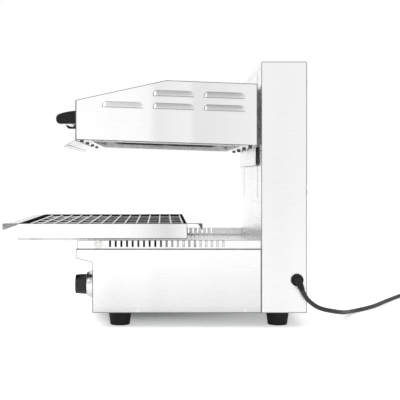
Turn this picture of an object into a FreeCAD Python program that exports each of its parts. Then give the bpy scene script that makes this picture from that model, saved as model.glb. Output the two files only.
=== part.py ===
import FreeCAD, Part
import math
import os
import Sketcher

# Cheese melter: an electric grill with a hood that rises and falls along a column.
# Frame: X is to the right seen from the front, -Y is the front, and Z is up from the table. The origin
# lies under the middle of the machine.

DRIVING_SIZES = (
    ("overall_high", 530, "table to the top of the column"),
    ("overall_wide", 450, "over the side plates of base and column"),
    ("panel", 1.2, "thickness of the steel sheet"),
    ("column_back", 303, "place of the back sheet's outer face"),
    ("column_deep", 90.6, "depth of the column"),
    ("column_corner", 3, "outer bend radius of the column's cap"),
    ("cap_high", 12, "height of the cap's turned-down edges"),
    ("front_sheet_sunk", 12, "column's front sheet below the deck"),
    ("slot_inset", 75, "lift slot from the side of the machine"),
    ("slot_wide", 5.2, "width of a lift slot"),
    ("slot_edge", 4, "upper end of a lift slot below the cap's edge"),
    ("slot_play", 2, "lift slot past an arm at both ends of its travel"),
    ("lift_up", 30, "travel of the hood above the place in which it stands"),
    ("lift_down", 103, "travel of the hood below the place in which it stands"),
    ("base_deep", 336.4, "front panel to the column"),
    ("base_high", 127, "bottom plate to the deck"),
    ("base_flange", 12, "turned-up edge of the bottom plate"),
    ("lip_reach", 33, "deck lip in front of the front panel"),
    ("lip_high", 18.5, "front face of the deck lip"),
    ("lip_root", 27, "deck to the lip's root on the front panel"),
    ("base_corner", 3, "bend radius at the lip and the front foot of the base"),
    ("foot_high", 30, "height of a foot"),
    ("foot_top", 47.5, "diameter of a foot at the bottom plate"),
    ("foot_bottom", 39.6, "diameter of a foot on the table"),
    ("foot_inset", 50, "foot centre from the side of the machine"),
    ("foot_behind_front", 53, "front foot centre behind the front panel"),
    ("foot_before_back", 52.5, "rear foot centre in front of the back sheet"),
    ("foot_edge", 2, "rounding of a foot's lower edge"),
    ("bolt_thick", 8, "diameter of a foot bolt"),
    ("bolt_sunk", 14, "foot bolt inside the foot"),
    ("bolt_nut", 6.5, "height of a foot bolt's nut"),
    ("bolt_nut_wide", 13, "nut across its corners"),
    ("screw_thick", 4, "diameter of a panel screw"),
    ("screw_head", 7.6, "diameter of a panel screw's head"),
    ("screw_head_high", 2, "height of a panel screw's head"),
    ("screw_long", 8, "length of a panel screw under its head"),
    ("fit_gap", 0.3, "clearance between plain parts"),
    ("running_gap", 0.05, "radial clearance of a shaft in its bore"),
    ("overrun", 1, "how far a cut passes the surface that it opens"),
    ("side_screw_front", 91, "front side screw behind the front panel"),
    ("side_screw_pitch", 213, "between the two side screws"),
    ("side_screw_high", 5.5, "side screw above the bottom plate's underside"),
    ("knob_inset", 60, "knob axis from the side of the machine"),
    ("knob_high", 51, "knob axis above the bottom plate"),
    ("knob_root", 42, "diameter of the knob at its back"),
    ("knob_tip", 38.5, "diameter of the knob at its face"),
    ("knob_deep", 23, "depth of the knob"),
    ("knob_stand", 15.5, "back of the knob in front of the panel"),
    ("knob_edge", 2.5, "rounding of the knob's face"),
    ("knob_bore_deep", 14, "depth of the knob's bore"),
    ("bezel_wide", 61, "diameter of the knob's bezel"),
    ("bezel_mouth", 49, "diameter of the bezel at its rim"),
    ("bezel_deep", 15, "depth of the bezel"),
    ("bezel_wall", 1, "thickness of the bezel"),
    ("spindle_thick", 6, "diameter of the thermostat's spindle"),
    ("neck_thick", 10, "diameter of the thermostat's threaded neck"),
    ("neck_long", 6, "neck in front of the panel"),
    ("thermostat_wide", 46, "width of the thermostat's case"),
    ("thermostat_deep", 34, "depth of the thermostat's case"),
    ("lamp_gap", 70, "knob axis to the pilot lamp next to it"),
    ("lamp_pitch", 30, "between the two pilot lamps"),
    ("lamp_lens", 11, "diameter of a pilot lamp's lens"),
    ("lamp_neck", 9, "diameter of a pilot lamp's body"),
    ("lamp_proud", 4, "lens in front of the panel"),
    ("lamp_deep", 24, "lamp body behind the panel"),
    ("terminal_wide", 60, "width of the terminal block"),
    ("terminal_deep", 26, "depth of the terminal block"),
    ("terminal_high", 29, "height of the terminal block"),
    ("terminal_back", 27, "terminal block in front of the back sheet"),
    ("rail_inset", 7, "guide rail's outer face from the side of the machine"),
    ("rail_high", 17.2, "height of a guide rail"),
    ("rail_foot", 16.8, "width of a guide rail's foot"),
    ("rail_front", 3, "guide rail's front end behind the lip"),
    ("slit_pitch", 11.3, "between the air slits of rails and runners"),
    ("slit_wide", 3.2, "width of an air slit"),
    ("slit_high", 11.6, "height of an air slit"),
    ("slit_low", 4.3, "air slit above the deck"),
    ("rail_slit_first", 65, "first air slit behind the rail's front end"),
    ("rail_slits", 21, "number of air slits in a rail"),
    ("runner_slits", 28, "number of air slits in a runner"),
    ("runner_slit_first", 34, "first air slit behind the runner's front end"),
    ("roller_thick", 16.4, "diameter of a guide roller"),
    ("roller_wide", 6, "width of a guide roller"),
    ("roller_back", 41, "guide roller's axis behind the rail's front end"),
    ("roller_high", 9.6, "guide roller's axis above the deck"),
    ("roller_pin", 6, "diameter of a roller's pin"),
    ("pin_head", 9, "diameter of a roller pin's head"),
    ("pin_head_high", 1.2, "height of a roller pin's head"),
    ("runner_inset", 11, "runner's outer face from the side of the machine"),
    ("runner_low", 2.2, "runner's lower edge above the deck"),
    ("runner_flange", 8, "width of the runner's riding edge"),
    ("bar_wide", 20, "width of a cross bar"),
    ("bar_thick", 3, "thickness of a cross bar"),
    ("bar_inset", 24, "cross bar from the end of the runner"),
    ("pan_back", 65.4, "place of the drip pan's rear wall"),
    ("pan_long", 339.6, "length of the drip pan's trough"),
    ("pan_high", 31, "height of the drip pan"),
    ("pan_inset", 11, "drip pan's side wall from the side of the machine"),
    ("pan_front_flange", 30.8, "front flange of the drip pan"),
    ("pan_back_flange", 30.4, "rear flange of the drip pan"),
    ("pan_front_drop", 14, "turned-down edge of the front flange"),
    ("pan_back_drop", 12.5, "turned-down edge of the rear flange"),
    ("ledge_wide", 6.8, "inner ledge that carries the grid"),
    ("ledge_drop", 5.1, "ledge's top below the rim"),
    ("wire_thick", 3.2, "diameter of a grid wire"),
    ("stay_thick", 4, "diameter of a grid stay"),
    ("wire_pitch", 24, "between grid wires"),
    ("wires", 14, "number of grid wires"),
    ("wire_back", 8, "last grid wire in front of the pan's rear wall"),
    ("stay_inset", 12, "outer grid stay from the pan's side wall"),
    ("weld_sink", 0.4, "how far a stay sinks into the wires at a weld"),
    ("hood_gap", 7.8, "hood's back to the column"),
    ("hood_long", 362.6, "length of the hood"),
    ("hood_inset", 4, "hood's side plates from the sides of the machine"),
    ("hood_above_arms", 1.2, "hood's lower edge at the back above the lift arms' lower edge"),
    ("hood_rise", 12, "lower edge higher at the front than at the back"),
    ("hood_front_high", 78.6, "height of the hood at the front"),
    ("hood_ridge_high", 124.1, "height of the hood at its ridge"),
    ("hood_back_high", 123.1, "height of the hood at the back"),
    ("hood_ridge", 181.3, "ridge behind the hood's front"),
    ("louvre_long", 82, "length of a louvre"),
    ("louvre_high", 11.5, "height of a louvre"),
    ("louvre_draw", 8, "how far a louvre's ends draw in"),
    ("louvre_proud", 3.6, "louvre proud of the side plate"),
    ("louvre_lip", 1.2, "edge of a louvre's mouth"),
    ("louvre_pitch", 101.7, "between louvres in a row"),
    ("louvre_front", 53, "front louvre behind the hood's front"),
    ("louvre_row", 67, "lower louvre row above the lower edge"),
    ("louvre_row_pitch", 25.6, "between louvre rows"),
    ("visor_mount", 9, "visor's mounting edge on the front panel"),
    ("visor_reach", 16.5, "flared part of the visor, forward"),
    ("visor_drop", 9, "flared part of the visor, down"),
    ("hem_reach", 6.5, "visor's hem, forward"),
    ("hem_drop", 3.4, "visor's hem, down"),
    ("strip_wide", 30, "width of the perforated strips"),
    ("strip_hole", 6, "diameter of a hole in the strips"),
    ("collar_wall", 0.9, "wall of the collar drawn round a hole"),
    ("collar_deep", 4.5, "collar below its strip"),
    ("hole_pitch", 138, "between holes in a row"),
    ("front_row", 10.6, "row of holes behind the front strip's front edge"),
    ("back_row", 18.6, "first row of holes behind the rear strip's front edge"),
    ("row_pitch", 6.2, "between the rows in the rear strip"),
    ("reflector_inset", 19, "reflector from the hood's side plates"),
    ("reflector_high", 58, "reflector above the hood's lower edge"),
    ("reflector_drop", 2, "reflector below the hood's lower edge"),
    ("corner_notch", 7, "diameter of the relief notches in the reflector's corners"),
    ("notch_high", 7, "relief notches above the hood's lower edge"),
    ("blanket_high", 14, "thickness of the insulation blanket"),
    ("blanket_inset", 34, "blanket from the ends of the reflector"),
    ("tube_thick", 6.3, "diameter of a heating element's tube"),
    ("tube_inset", 22, "outer element runs from the reflector's sides"),
    ("tube_low", 9.8, "element above the hood's lower edge"),
    ("tube_front", 32, "elements' front bends behind the reflector's front"),
    ("tube_back", 30.2, "elements' ends in front of the reflector's back"),
    ("tube_turn_up", 12, "bend radius where an element turns up"),
    ("tube_tail", 62, "element's ends above its runs"),
    ("tube_gap", 0.6, "element's radial clearance in the reflector"),
    ("hanger_thick", 2, "thickness of an element hanger"),
    ("hanger_pitch", 75, "between element hangers"),
    ("clip_wide", 9, "width of a clip beside an outer element run"),
    ("clip_eye", 4, "diameter of the eye at a clip's end"),
    ("clip_high", 5.5, "clip's eye above the hood's lower edge"),
    ("handle_wide", 234, "length of the handle"),
    ("handle_end", 24, "width of a handle end"),
    ("handle_reach", 52, "handle in front of the hood"),
    ("handle_high", 27.6, "height of a handle end"),
    ("handle_low", 38, "handle's underside above the hood's lower edge"),
    ("grip_thick", 21, "diameter of the grip"),
    ("grip_back", 15, "grip's axis behind the handle's front"),
    ("lift_sheet", 1.5, "thickness of the lift plate"),
    ("lift_plate_inset", 48, "lift plate from the side of the machine"),
    ("lift_plate_drop", 40, "lift plate below the hood's lower edge"),
    ("arm_thick", 4, "thickness of a lift arm"),
    ("arm_high", 120, "height of a lift arm"),
    ("crosshead_inset", 20, "crosshead from the side of the machine"),
    ("crosshead_thick", 4, "thickness of the crosshead"),
    ("guide_gap", 8.4, "column front sheet to the guide bars"),
    ("guide_wide", 25, "width of a guide bar"),
    ("guide_thick", 6, "thickness of a guide bar"),
    ("guide_inset", 41, "guide bar's middle from the side of the machine"),
    ("guide_stand", 15, "height of a guide bar's standoff"),
    ("guide_low", 10, "guide bar's lower end above the deck"),
    ("guide_top", 4, "guide bar's upper end below the top"),
    ("pad_thick", 7.7, "thickness of a rear glide pad"),
    ("pad_high", 25, "height of a glide pad"),
    ("pad_inset", 3, "glide pad from the ends of an arm"),
    ("pad_gap", 1.2, "front glide pads to the column's front sheet"),
    ("wheel_pitch", 48, "pitch diameter of a chain wheel"),
    ("chain_thick", 4, "thickness of the chain"),
    ("chain_wide", 6, "width of the chain"),
    ("chain_side", 100, "chain from the middle of the machine"),
    ("shaft_thick", 10, "diameter of the lift shaft"),
    ("shaft_past", 2, "lift shaft past its bearings"),
    ("shaft_drop", 33, "lift shaft below the top of the column"),
    ("shaft_back", 33, "lift shaft in front of the back sheet"),
    ("bearing_side", 120, "shaft bearing from the middle of the machine"),
    ("bearing_thick", 6, "thickness of a shaft bearing"),
    ("bearing_wide", 22, "width of a shaft bearing"),
    ("lug_wide", 12, "width of a lug on the crosshead"),
    ("lug_high", 10, "height of a lug on the crosshead"),
    ("lug_rise", 18, "chain lugs above the lift arms' lower edge"),
    ("weight_inset", 55, "counterweight from the side of the machine"),
    ("weight_thick", 13, "thickness of the counterweight"),
    ("weight_high", 240, "height of the counterweight"),
    ("weight_low", 100, "height of the counterweight's underside"),
    ("lead_thick", 12, "diameter of the flexible lead to the hood"),
    ("gland_back", 19.6, "gland's axis in front of the back sheet"),
    ("gland_high", 65.7, "gland's axis above the bottom plate"),
    ("gland_wide", 24.7, "diameter of the gland's flange"),
    ("gland_thick", 4, "thickness of the gland's flange"),
    ("gland_neck", 15.6, "diameter of the gland's neck"),
    ("gland_nut", 20, "diameter of the gland's nut"),
    ("gland_nut_long", 10, "length of the gland's nut"),
    ("relief_root", 13, "diameter of the strain relief at its bend"),
    ("relief_tip", 10.6, "diameter of the strain relief at its end"),
    ("relief_straight", 2, "strain relief before its bend"),
    ("relief_bend", 9.5, "bend radius of the strain relief"),
    ("relief_long", 10, "strain relief after its bend"),
    ("relief_turn", 24, "degrees that the strain relief points back from straight down"),
    ("cord_thick", 8.8, "diameter of the mains cord"),
    ("coil_middle", 97, "diameter of the coil at the middle of its turns"),
    ("coil_gap", 0.7, "gap between the coil's turns"),
    ("coil_turns_in", 1.5, "turns that spiral in on the floor"),
    ("coil_tail", 56, "straight end of the coil up to the plug"),
    ("plug_wide", 36, "diameter of the plug's face"),
    ("plug_neck", 16, "diameter of the plug's body where its strain relief starts"),
    ("plug_tip", 10.8, "diameter of the plug's strain relief at the cord"),
    ("plug_long", 46, "length of the plug's body"),
    ("plug_relief", 26, "length of the plug's strain relief"),
    ("plug_rim", 12, "straight rim of the plug's body"),
    ("plug_pin", 4.8, "diameter of a plug pin"),
    ("plug_pin_long", 19, "length of a plug pin"),
    ("plug_pin_pitch", 19, "between the plug's pins"),
    ("plug_pin_sunk", 8, "pin inside the plug's body"),
)

doc = FreeCAD.newDocument("cheese_melter")
sheet = doc.addObject("Spreadsheet::Sheet", "sizes")
for row, (alias, number, meaning) in enumerate(DRIVING_SIZES, 1):
    sheet.set("A%d" % row, meaning)
    sheet.set("B%d" % row, str(number))
    sheet.setAlias("B%d" % row, alias)
doc.recompute()


class Size:
    """A length, ratio or angle with its present value and the expression that binds it to the sheet."""

    def __init__(self, value, text):
        self.value = value
        self.text = text

    def __add__(self, other):
        other = as_size(other)
        return Size(self.value + other.value, "(%s + %s)" % (self.text, other.text))

    def __sub__(self, other):
        other = as_size(other)
        return Size(self.value - other.value, "(%s - %s)" % (self.text, other.text))

    def __mul__(self, other):
        other = as_size(other)
        return Size(self.value * other.value, "(%s * %s)" % (self.text, other.text))

    def __truediv__(self, other):
        other = as_size(other)
        return Size(self.value / other.value, "(%s / %s)" % (self.text, other.text))

    def __neg__(self):
        return Size(-self.value, "(0 - %s)" % self.text)

    __radd__ = __add__
    __rmul__ = __mul__


def as_size(number):
    """A Size from a Size, or from a plain count or share."""
    return number if isinstance(number, Size) else Size(number, repr(number))


class DrivingSizes:
    """The cells of the sheet, each as a Size under its alias."""

    def __init__(self):
        for alias, number, meaning in DRIVING_SIZES:
            setattr(self, alias, Size(sheet.get(alias), "sizes." + alias))


d = DrivingSizes()
ZERO = Size(0, "0")
LEFT, RIGHT = -1, 1

# Places that several pieces share. Each is worked out once from the driving sizes.
half_wide = d.overall_wide / 2
inner_half = half_wide - d.panel
base_low = d.foot_high
deck_top = base_low + d.base_high
column_front = d.column_back - d.column_deep
base_front = column_front - d.base_deep
lip_front = base_front - d.lip_reach
lip_low = deck_top - d.lip_high
lip_root = deck_top - d.lip_root
column_inner_front = column_front + d.panel
column_inner_back = d.column_back - d.panel
cap_low = d.overall_high - d.cap_high
hood_back = column_front - d.hood_gap
hood_front = hood_back - d.hood_long
hood_half = half_wide - d.hood_inset
hood_inner_half = hood_half - d.panel
hood_slope_share = d.hood_rise / d.hood_long
slot_side = half_wide - d.slot_inset
guide_side = half_wide - d.guide_inset
guide_front = column_inner_front + d.guide_gap
guide_back = guide_front + d.guide_thick
crosshead_front = guide_back + d.fit_gap + d.pad_thick
crosshead_back = crosshead_front + d.crosshead_thick
lift_plate_back = hood_back + d.lift_sheet
slot_top = cap_low - d.slot_edge
arm_top = slot_top - d.slot_play - d.lift_up
arm_low = arm_top - d.arm_high
slot_low = arm_low - d.lift_down - d.slot_play
hood_back_low = arm_low + d.hood_above_arms
lug_low = arm_low + d.lug_rise
shaft_high = d.overall_high - d.shaft_drop
shaft_end = d.bearing_side + d.bearing_thick + d.shaft_past
knob_side = half_wide - d.knob_inset
lamp_side = knob_side - d.lamp_gap
reflector_half = hood_half - d.reflector_inset
tube_half = reflector_half - d.tube_inset
reflector_start = d.panel + d.strip_wide
reflector_stop = d.hood_long - reflector_start
shaft_place = d.column_back - d.shaft_back
chain_front_place = shaft_place - d.wheel_pitch / 2
chain_back_place = shaft_place + d.wheel_pitch / 2
weight_top = d.weight_low + d.weight_high
rail_face = half_wide - d.rail_inset
runner_face = half_wide - d.runner_inset
rail_start = lip_front + d.rail_front
roller_place = rail_start + d.roller_back
roller_axis = deck_top + d.roller_high
ride_low = roller_axis + d.roller_thick / 2 + d.fit_gap
ride_top = ride_low + d.panel
pan_low = ride_top + d.fit_gap
pan_rim = pan_low + d.pan_high
pan_half = half_wide - d.pan_inset
pan_front = d.pan_back - d.pan_long
ledge_top = pan_rim - d.ledge_drop
wire_axis = ledge_top + d.fit_gap + d.wire_thick / 2
stay_axis = wire_axis - d.wire_thick / 2 - d.stay_thick / 2 + d.weld_sink
thermostat_axis = base_low + d.knob_high
gland_place = d.column_back - d.gland_back
gland_axis = base_low + d.gland_high
foot_places = (base_front + d.foot_behind_front, d.column_back - d.foot_before_back)

PLANES = {"X": "YZ_Plane", "Y": "XZ_Plane", "Z": "XY_Plane"}
NEAR_SHARE = 0.01
nodes = []


def keep(piece, name):
    """Give a finished sub-part its own label, which names its file."""
    piece.Label = name
    nodes.append(piece)
    return piece


def bind(thing, field, size):
    """Bind one property to the sheet."""
    thing.setExpression(field, as_size(size).text)


def place_at(thing, place):
    """Bind the three coordinates of a placement."""
    for letter, size in zip("xyz", place):
        bind(thing, ".Placement.Base." + letter, size)


def block(name, across, along, height):
    """A plain block between pairs of faces along X, Y and Z."""
    solid = doc.addObject("Part::Box", name)
    for field, (low, high) in zip(("Length", "Width", "Height"), (across, along, height)):
        bind(solid, field, high - low)
    place_at(solid, (across[0], along[0], height[0]))
    return solid


AXIS_TURNS = {
    "X": FreeCAD.Rotation(FreeCAD.Vector(0, 1, 0), 90),
    "Y": FreeCAD.Rotation(FreeCAD.Vector(1, 0, 0), -90),
    "Z": FreeCAD.Rotation(),
}


def axis_place(axis, low, centre):
    """The start point of a round piece: low along its axis, centre in the other two directions."""
    first, second = centre
    if axis == "X":
        return (low, first, second)
    if axis == "Y":
        return (first, low, second)
    return (first, second, low)


def rod(name, axis, centre, diameter, low, high):
    """A cylinder along one axis between two faces."""
    solid = doc.addObject("Part::Cylinder", name)
    bind(solid, "Radius", diameter / 2)
    bind(solid, "Height", high - low)
    solid.Placement = FreeCAD.Placement(FreeCAD.Vector(), AXIS_TURNS[axis])
    place_at(solid, axis_place(axis, low, centre))
    return solid


def taper(name, axis, centre, low, low_diameter, high, high_diameter):
    """A truncated cone along one axis."""
    solid = doc.addObject("Part::Cone", name)
    bind(solid, "Radius1", low_diameter / 2)
    bind(solid, "Radius2", high_diameter / 2)
    bind(solid, "Height", high - low)
    solid.Placement = FreeCAD.Placement(FreeCAD.Vector(), AXIS_TURNS[axis])
    place_at(solid, axis_place(axis, low, centre))
    return solid


def fuse(name, solids):
    """One solid from several that touch."""
    joined = doc.addObject("Part::MultiFuse", name)
    joined.Shapes = solids
    joined.Refine = True
    return joined


def cut(name, base, tools):
    """A solid less one or more tools."""
    tool = tools[0] if len(tools) == 1 else fuse(name + "_tools", tools)
    rest = doc.addObject("Part::Cut", name)
    rest.Base = base
    rest.Tool = tool
    return rest


def group(name, solids):
    """Several like solids in one node."""
    bundle = doc.addObject("Part::Compound", name)
    bundle.Links = solids
    return bundle


def draw(body, name, axis, offset, loops=(), circles=()):
    """A fully dimensioned sketch across one axis, at an offset along it.

    Each loop is a list of corner points and each circle a centre and a diameter, in the two other
    directions. Across Y the sketch's normal points to the front, so the offset changes sign.
    """
    sketch = body.newObject("Sketcher::SketchObject", name)
    plane = [f for f in body.Origin.OriginFeatures if f.Role == PLANES[axis]][0]
    sketch.AttachmentSupport = [(plane, "")]
    sketch.MapMode = "FlatFace"
    bind(sketch, ".AttachmentOffset.Base.z", -offset if axis == "Y" else offset)
    shapes = []
    rules = []
    bonds = []

    def fix(index, end, point):
        """Dimension one point from the sketch's origin."""
        for kind, size in zip(("DistanceX", "DistanceY"), point):
            bonds.append((len(rules), size.text))
            rules.append(Sketcher.Constraint(kind, -1, 1, index, end, float(size.value)))

    for loop in loops:
        first = len(shapes)
        count = len(loop)
        for step, point in enumerate(loop):
            after = loop[(step + 1) % count]
            start = FreeCAD.Vector(point[0].value, point[1].value, 0)
            stop = FreeCAD.Vector(after[0].value, after[1].value, 0)
            shapes.append(Part.LineSegment(start, stop))
        for step, point in enumerate(loop):
            rules.append(Sketcher.Constraint("Coincident", first + step, 2, first + (step + 1) % count, 1))
            fix(first + step, 1, point)
    for centre, diameter in circles:
        middle = FreeCAD.Vector(centre[0].value, centre[1].value, 0)
        shapes.append(Part.Circle(middle, FreeCAD.Vector(0, 0, 1), diameter.value / 2))
        index = len(shapes) - 1
        fix(index, 3, centre)
        bonds.append((len(rules), (diameter / 2).text))
        rules.append(Sketcher.Constraint("Radius", index, float(diameter.value / 2)))
    sketch.addGeometry(shapes, False)
    sketch.addConstraint(rules)
    for index, text in bonds:
        sketch.setExpression("Constraints[%d]" % index, text)
    return sketch


def pad(body, name, axis, low, high, loops, circles=()):
    """Pad a sketch from one face to another along the sketch's axis."""
    sketch = draw(body, name + "_outline", axis, high if axis == "Y" else low, loops, circles)
    feature = body.newObject("PartDesign::Pad", name + "_pad")
    feature.Profile = sketch
    bind(feature, "Length", high - low)
    return feature


def profile(name, axis, low, high, loops, circles=()):
    """A sub-part that is one padded outline."""
    body = doc.addObject("PartDesign::Body", name)
    pad(body, name, axis, low, high, loops, circles)
    return body


def pierce(body, name, axis, loops=(), circles=(), through=None):
    """Cut openings right through a body across one axis, or only between two faces."""
    low, high = through or (-d.overall_high, d.overall_high)
    sketch = draw(body, name + "_outline", axis, low if axis == "Y" else high, loops, circles)
    pocket = body.newObject("PartDesign::Pocket", name + "_pocket")
    pocket.Profile = sketch
    bind(pocket, "Length", high - low)
    return pocket


def pattern(body, name, feature, axis, pitch, count):
    """Repeat a feature along one axis of the body."""
    line = [f for f in body.Origin.OriginFeatures if f.Role == axis + "_Axis"][0]
    repeat = body.newObject("PartDesign::LinearPattern", name)
    repeat.Originals = [feature]
    repeat.Direction = (line, [""])
    bind(repeat, "Length", pitch * (count - 1))
    bind(repeat, "Occurrences", count)
    body.Tip = repeat
    return repeat


def round_corners(body, name, axis, corners, radius):
    """Round the edges along one axis that pass through the given corner points."""
    doc.recompute()
    direction = {"X": 0, "Y": 1, "Z": 2}[axis]
    others = [number for number in range(3) if number != direction]
    reach = radius.value * NEAR_SHARE
    base = body.Tip
    found = []
    for number, edge in enumerate(base.Shape.Edges, 1):
        ends = [vertex.Point for vertex in edge.Vertexes]
        if len(ends) != 2 or abs((ends[0] - ends[1])[direction]) < reach:
            continue
        for corner in corners:
            if all(abs(end[others[side]] - corner[side].value) < reach for end in ends for side in (0, 1)):
                found.append("Edge%d" % number)
    fillet = body.newObject("PartDesign::Fillet", name + "_rounding")
    fillet.Base = (base, found)
    bind(fillet, "Radius", radius)
    return fillet


def rectangle(first, second):
    """The corner points of a rectangle between two pairs of sizes."""
    return [(first[0], second[0]), (first[1], second[0]), (first[1], second[1]), (first[0], second[1])]


def side_span(side, near, far):
    """The X range between two distances from the middle of the machine, on one side of it."""
    return (near, far) if side == RIGHT else (-far, -near)


def mirrored(points):
    """An outline on the other side of the machine."""
    return [(-first, second) for first, second in points]


# Base

def make_base_side(side):
    """A side plate of the base, with a beak that closes the deck's lip."""
    beak = (lip_front, lip_low)
    toe = (base_front, base_low)
    outline = [(lip_front, deck_top), beak, (base_front, lip_root), toe,
               (column_front, base_low), (column_front, deck_top)]
    name = "base_side_right" if side == RIGHT else "base_side_left"
    holes = [((screw, screw_height), d.screw_thick) for screw in side_screws]
    plate = profile(name, "X", *side_span(side, inner_half, half_wide), [outline], holes)
    round_corners(plate, name, "X", [beak, toe], d.base_corner)
    return keep(plate, name)


def make_deck():
    """The deck, bent down at the front and back under to form a lip."""
    outline = [(column_front, deck_top), (lip_front, deck_top), (lip_front, lip_low),
               (base_front, lip_root), (base_front, lip_root + d.panel),
               (lip_front + d.panel, lip_low + d.panel),
               (lip_front + d.panel, deck_top - d.panel), (column_front, deck_top - d.panel)]
    deck = profile("deck", "X", -inner_half, inner_half, [outline])
    round_corners(deck, "deck", "X", [(lip_front, lip_low)], d.base_corner - d.panel)
    return keep(deck, "deck")


def make_front_panel():
    """The front panel below the lip, with holes for the thermostat's neck and the pilot lamps."""
    holes = [((knob_side, thermostat_axis), d.neck_thick)]
    for lamp in (0, 1):
        holes.append(((lamp_side - d.lamp_pitch * lamp, thermostat_axis), d.lamp_neck))
    outline = rectangle((-inner_half, inner_half), (base_low, lip_root + d.panel))
    panel = profile("base_front_panel", "Y", base_front, base_front + d.panel, [outline], holes)
    return keep(panel, "base_front_panel")


def make_bottom_plate():
    """The bottom plate, with turned-up side edges for the side screws."""
    inside = inner_half - d.panel
    top = base_low + d.base_flange
    outline = [(-inner_half, base_low), (inner_half, base_low), (inner_half, top), (inside, top),
               (inside, base_low + d.panel), (-inside, base_low + d.panel), (-inside, top),
               (-inner_half, top)]
    plate = profile("bottom_plate", "Y", base_front + d.panel, column_inner_back, [outline])
    feet = [((side * (half_wide - d.foot_inset), place), d.bolt_thick)
            for side in (LEFT, RIGHT) for place in foot_places]
    pierce(plate, "bolt_holes", "Z", circles=feet)
    holes = [((place, screw_height), d.screw_thick) for place in side_screws]
    pierce(plate, "screw_holes", "X", circles=holes)
    return keep(plate, "bottom_plate")


def make_feet():
    """Four rubber feet in two pairs: truncated cones, each with a hole for its bolt."""
    for place, name in zip(foot_places, ("front_feet", "rear_feet")):
        feet = []
        for side in (LEFT, RIGHT):
            centre = (side * (half_wide - d.foot_inset), place)
            cone = taper("foot_cone", "Z", centre, ZERO, d.foot_bottom, d.foot_high, d.foot_top)
            hole = rod("foot_hole", "Z", centre, d.bolt_thick, d.foot_high - d.bolt_sunk,
                       d.foot_high + d.overrun)
            feet.append(round_foot("foot", cut("foot_bored", cone, [hole])))
        keep(group(name, feet), name)


def round_foot(name, bored):
    """Round the edge on which a foot stands."""
    doc.recompute()
    fillet = doc.addObject("Part::Fillet", name)
    fillet.Base = bored
    edges = []
    for number, edge in enumerate(bored.Shape.Edges, 1):
        low, high = edge.BoundBox.ZMin, edge.BoundBox.ZMax
        if abs(high) < d.foot_edge.value and abs(low) < d.foot_edge.value:
            edges.append((number, d.foot_edge.value, d.foot_edge.value))
    fillet.Edges = edges
    return fillet


def make_foot_bolts():
    """Foot bolts with their nuts on the bottom plate."""
    bolts = []
    nut_low = base_low + d.panel
    for side in (LEFT, RIGHT):
        for place in foot_places:
            centre = (side * (half_wide - d.foot_inset), place)
            shank = rod("bolt_shank", "Z", centre, d.bolt_thick, d.foot_high - d.bolt_sunk,
                        nut_low + d.bolt_nut)
            nut = doc.addObject("Part::Prism", "bolt_nut")
            nut.Polygon = 6
            bind(nut, "Circumradius", d.bolt_nut_wide / 2)
            bind(nut, "Height", d.bolt_nut)
            place_at(nut, (*centre, nut_low))
            bolts.append(fuse("foot_bolt", [shank, nut]))
    return keep(group("foot_bolts", bolts), "foot_bolts")


def make_panel_screws():
    """Screws in the base's side plates and in the column's back sheet."""
    screws = []
    for side in (LEFT, RIGHT):
        for place in side_screws:
            centre = (place, screw_height)
            shank = rod("screw_shank", "X", centre, d.screw_thick,
                        *side_span(side, half_wide - d.screw_long, half_wide))
            head = rod("screw_head", "X", centre, d.screw_head,
                       *side_span(side, half_wide, half_wide + d.screw_head_high))
            screws.append(fuse("panel_screw", [shank, head]))
    for place in back_screws:
        shank = rod("screw_shank", "Y", place, d.screw_thick, d.column_back - d.screw_long, d.column_back)
        head = rod("screw_head", "Y", place, d.screw_head, d.column_back, d.column_back + d.screw_head_high)
        screws.append(fuse("panel_screw", [shank, head]))
    return keep(group("panel_screws", screws), "panel_screws")


side_screws = [base_front + d.side_screw_front, base_front + d.side_screw_front + d.side_screw_pitch]
screw_height = base_low + d.side_screw_high
back_screw_side = inner_half - d.base_flange / 2
BACK_SCREW_SHARES = (0.06, 0.49, 0.94)
back_screws = [(side * back_screw_side, base_low + (cap_low - base_low) * share)
               for side in (LEFT, RIGHT) for share in BACK_SCREW_SHARES]


# Controls on the front panel

def make_thermostat():
    """The thermostat's case behind the panel, with a threaded neck that holds the spindle."""
    centre = (knob_side, thermostat_axis)
    case_front = base_front + d.panel
    half_case = d.thermostat_wide / 2
    case = block("thermostat_case", (knob_side - half_case, knob_side + half_case),
                 (case_front, case_front + d.thermostat_deep),
                 (thermostat_axis - half_case, thermostat_axis + half_case))
    neck = rod("thermostat_neck", "Y", centre, d.neck_thick, base_front - d.neck_long, case_front)
    bore = rod("thermostat_bore", "Y", centre, d.spindle_thick + d.running_gap * 2,
               base_front - d.neck_long - d.overrun, case_front + d.thermostat_deep / 2)
    whole = fuse("thermostat_whole", [case, neck])
    return keep(cut("thermostat", whole, [bore]), "thermostat")


def make_spindle():
    """The spindle that carries the knob."""
    spindle = rod("thermostat_spindle", "Y", (knob_side, thermostat_axis), d.spindle_thick,
                  base_front - d.knob_stand - d.knob_bore_deep,
                  base_front + d.panel + d.thermostat_deep / 2 - d.fit_gap)
    return keep(spindle, "thermostat_spindle")


def make_knob():
    """The knob: a round body that narrows to a face with a rounded edge."""
    centre = (knob_side, thermostat_axis)
    back = base_front - d.knob_stand
    front = back - d.knob_deep
    cone = taper("knob_cone", "Y", centre, front, d.knob_tip, back, d.knob_root)
    bore = rod("knob_bore", "Y", centre, d.spindle_thick, back - d.knob_bore_deep, back + d.overrun)
    bored = cut("knob_bored", cone, [bore])
    doc.recompute()
    knob = doc.addObject("Part::Fillet", "control_knob")
    knob.Base = bored
    edges = []
    for number, edge in enumerate(bored.Shape.Edges, 1):
        box = edge.BoundBox
        if abs(box.YMin - front.value) < d.knob_edge.value and box.YLength < d.knob_edge.value:
            edges.append((number, d.knob_edge.value, d.knob_edge.value))
    knob.Edges = edges
    return keep(knob, "control_knob")


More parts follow.
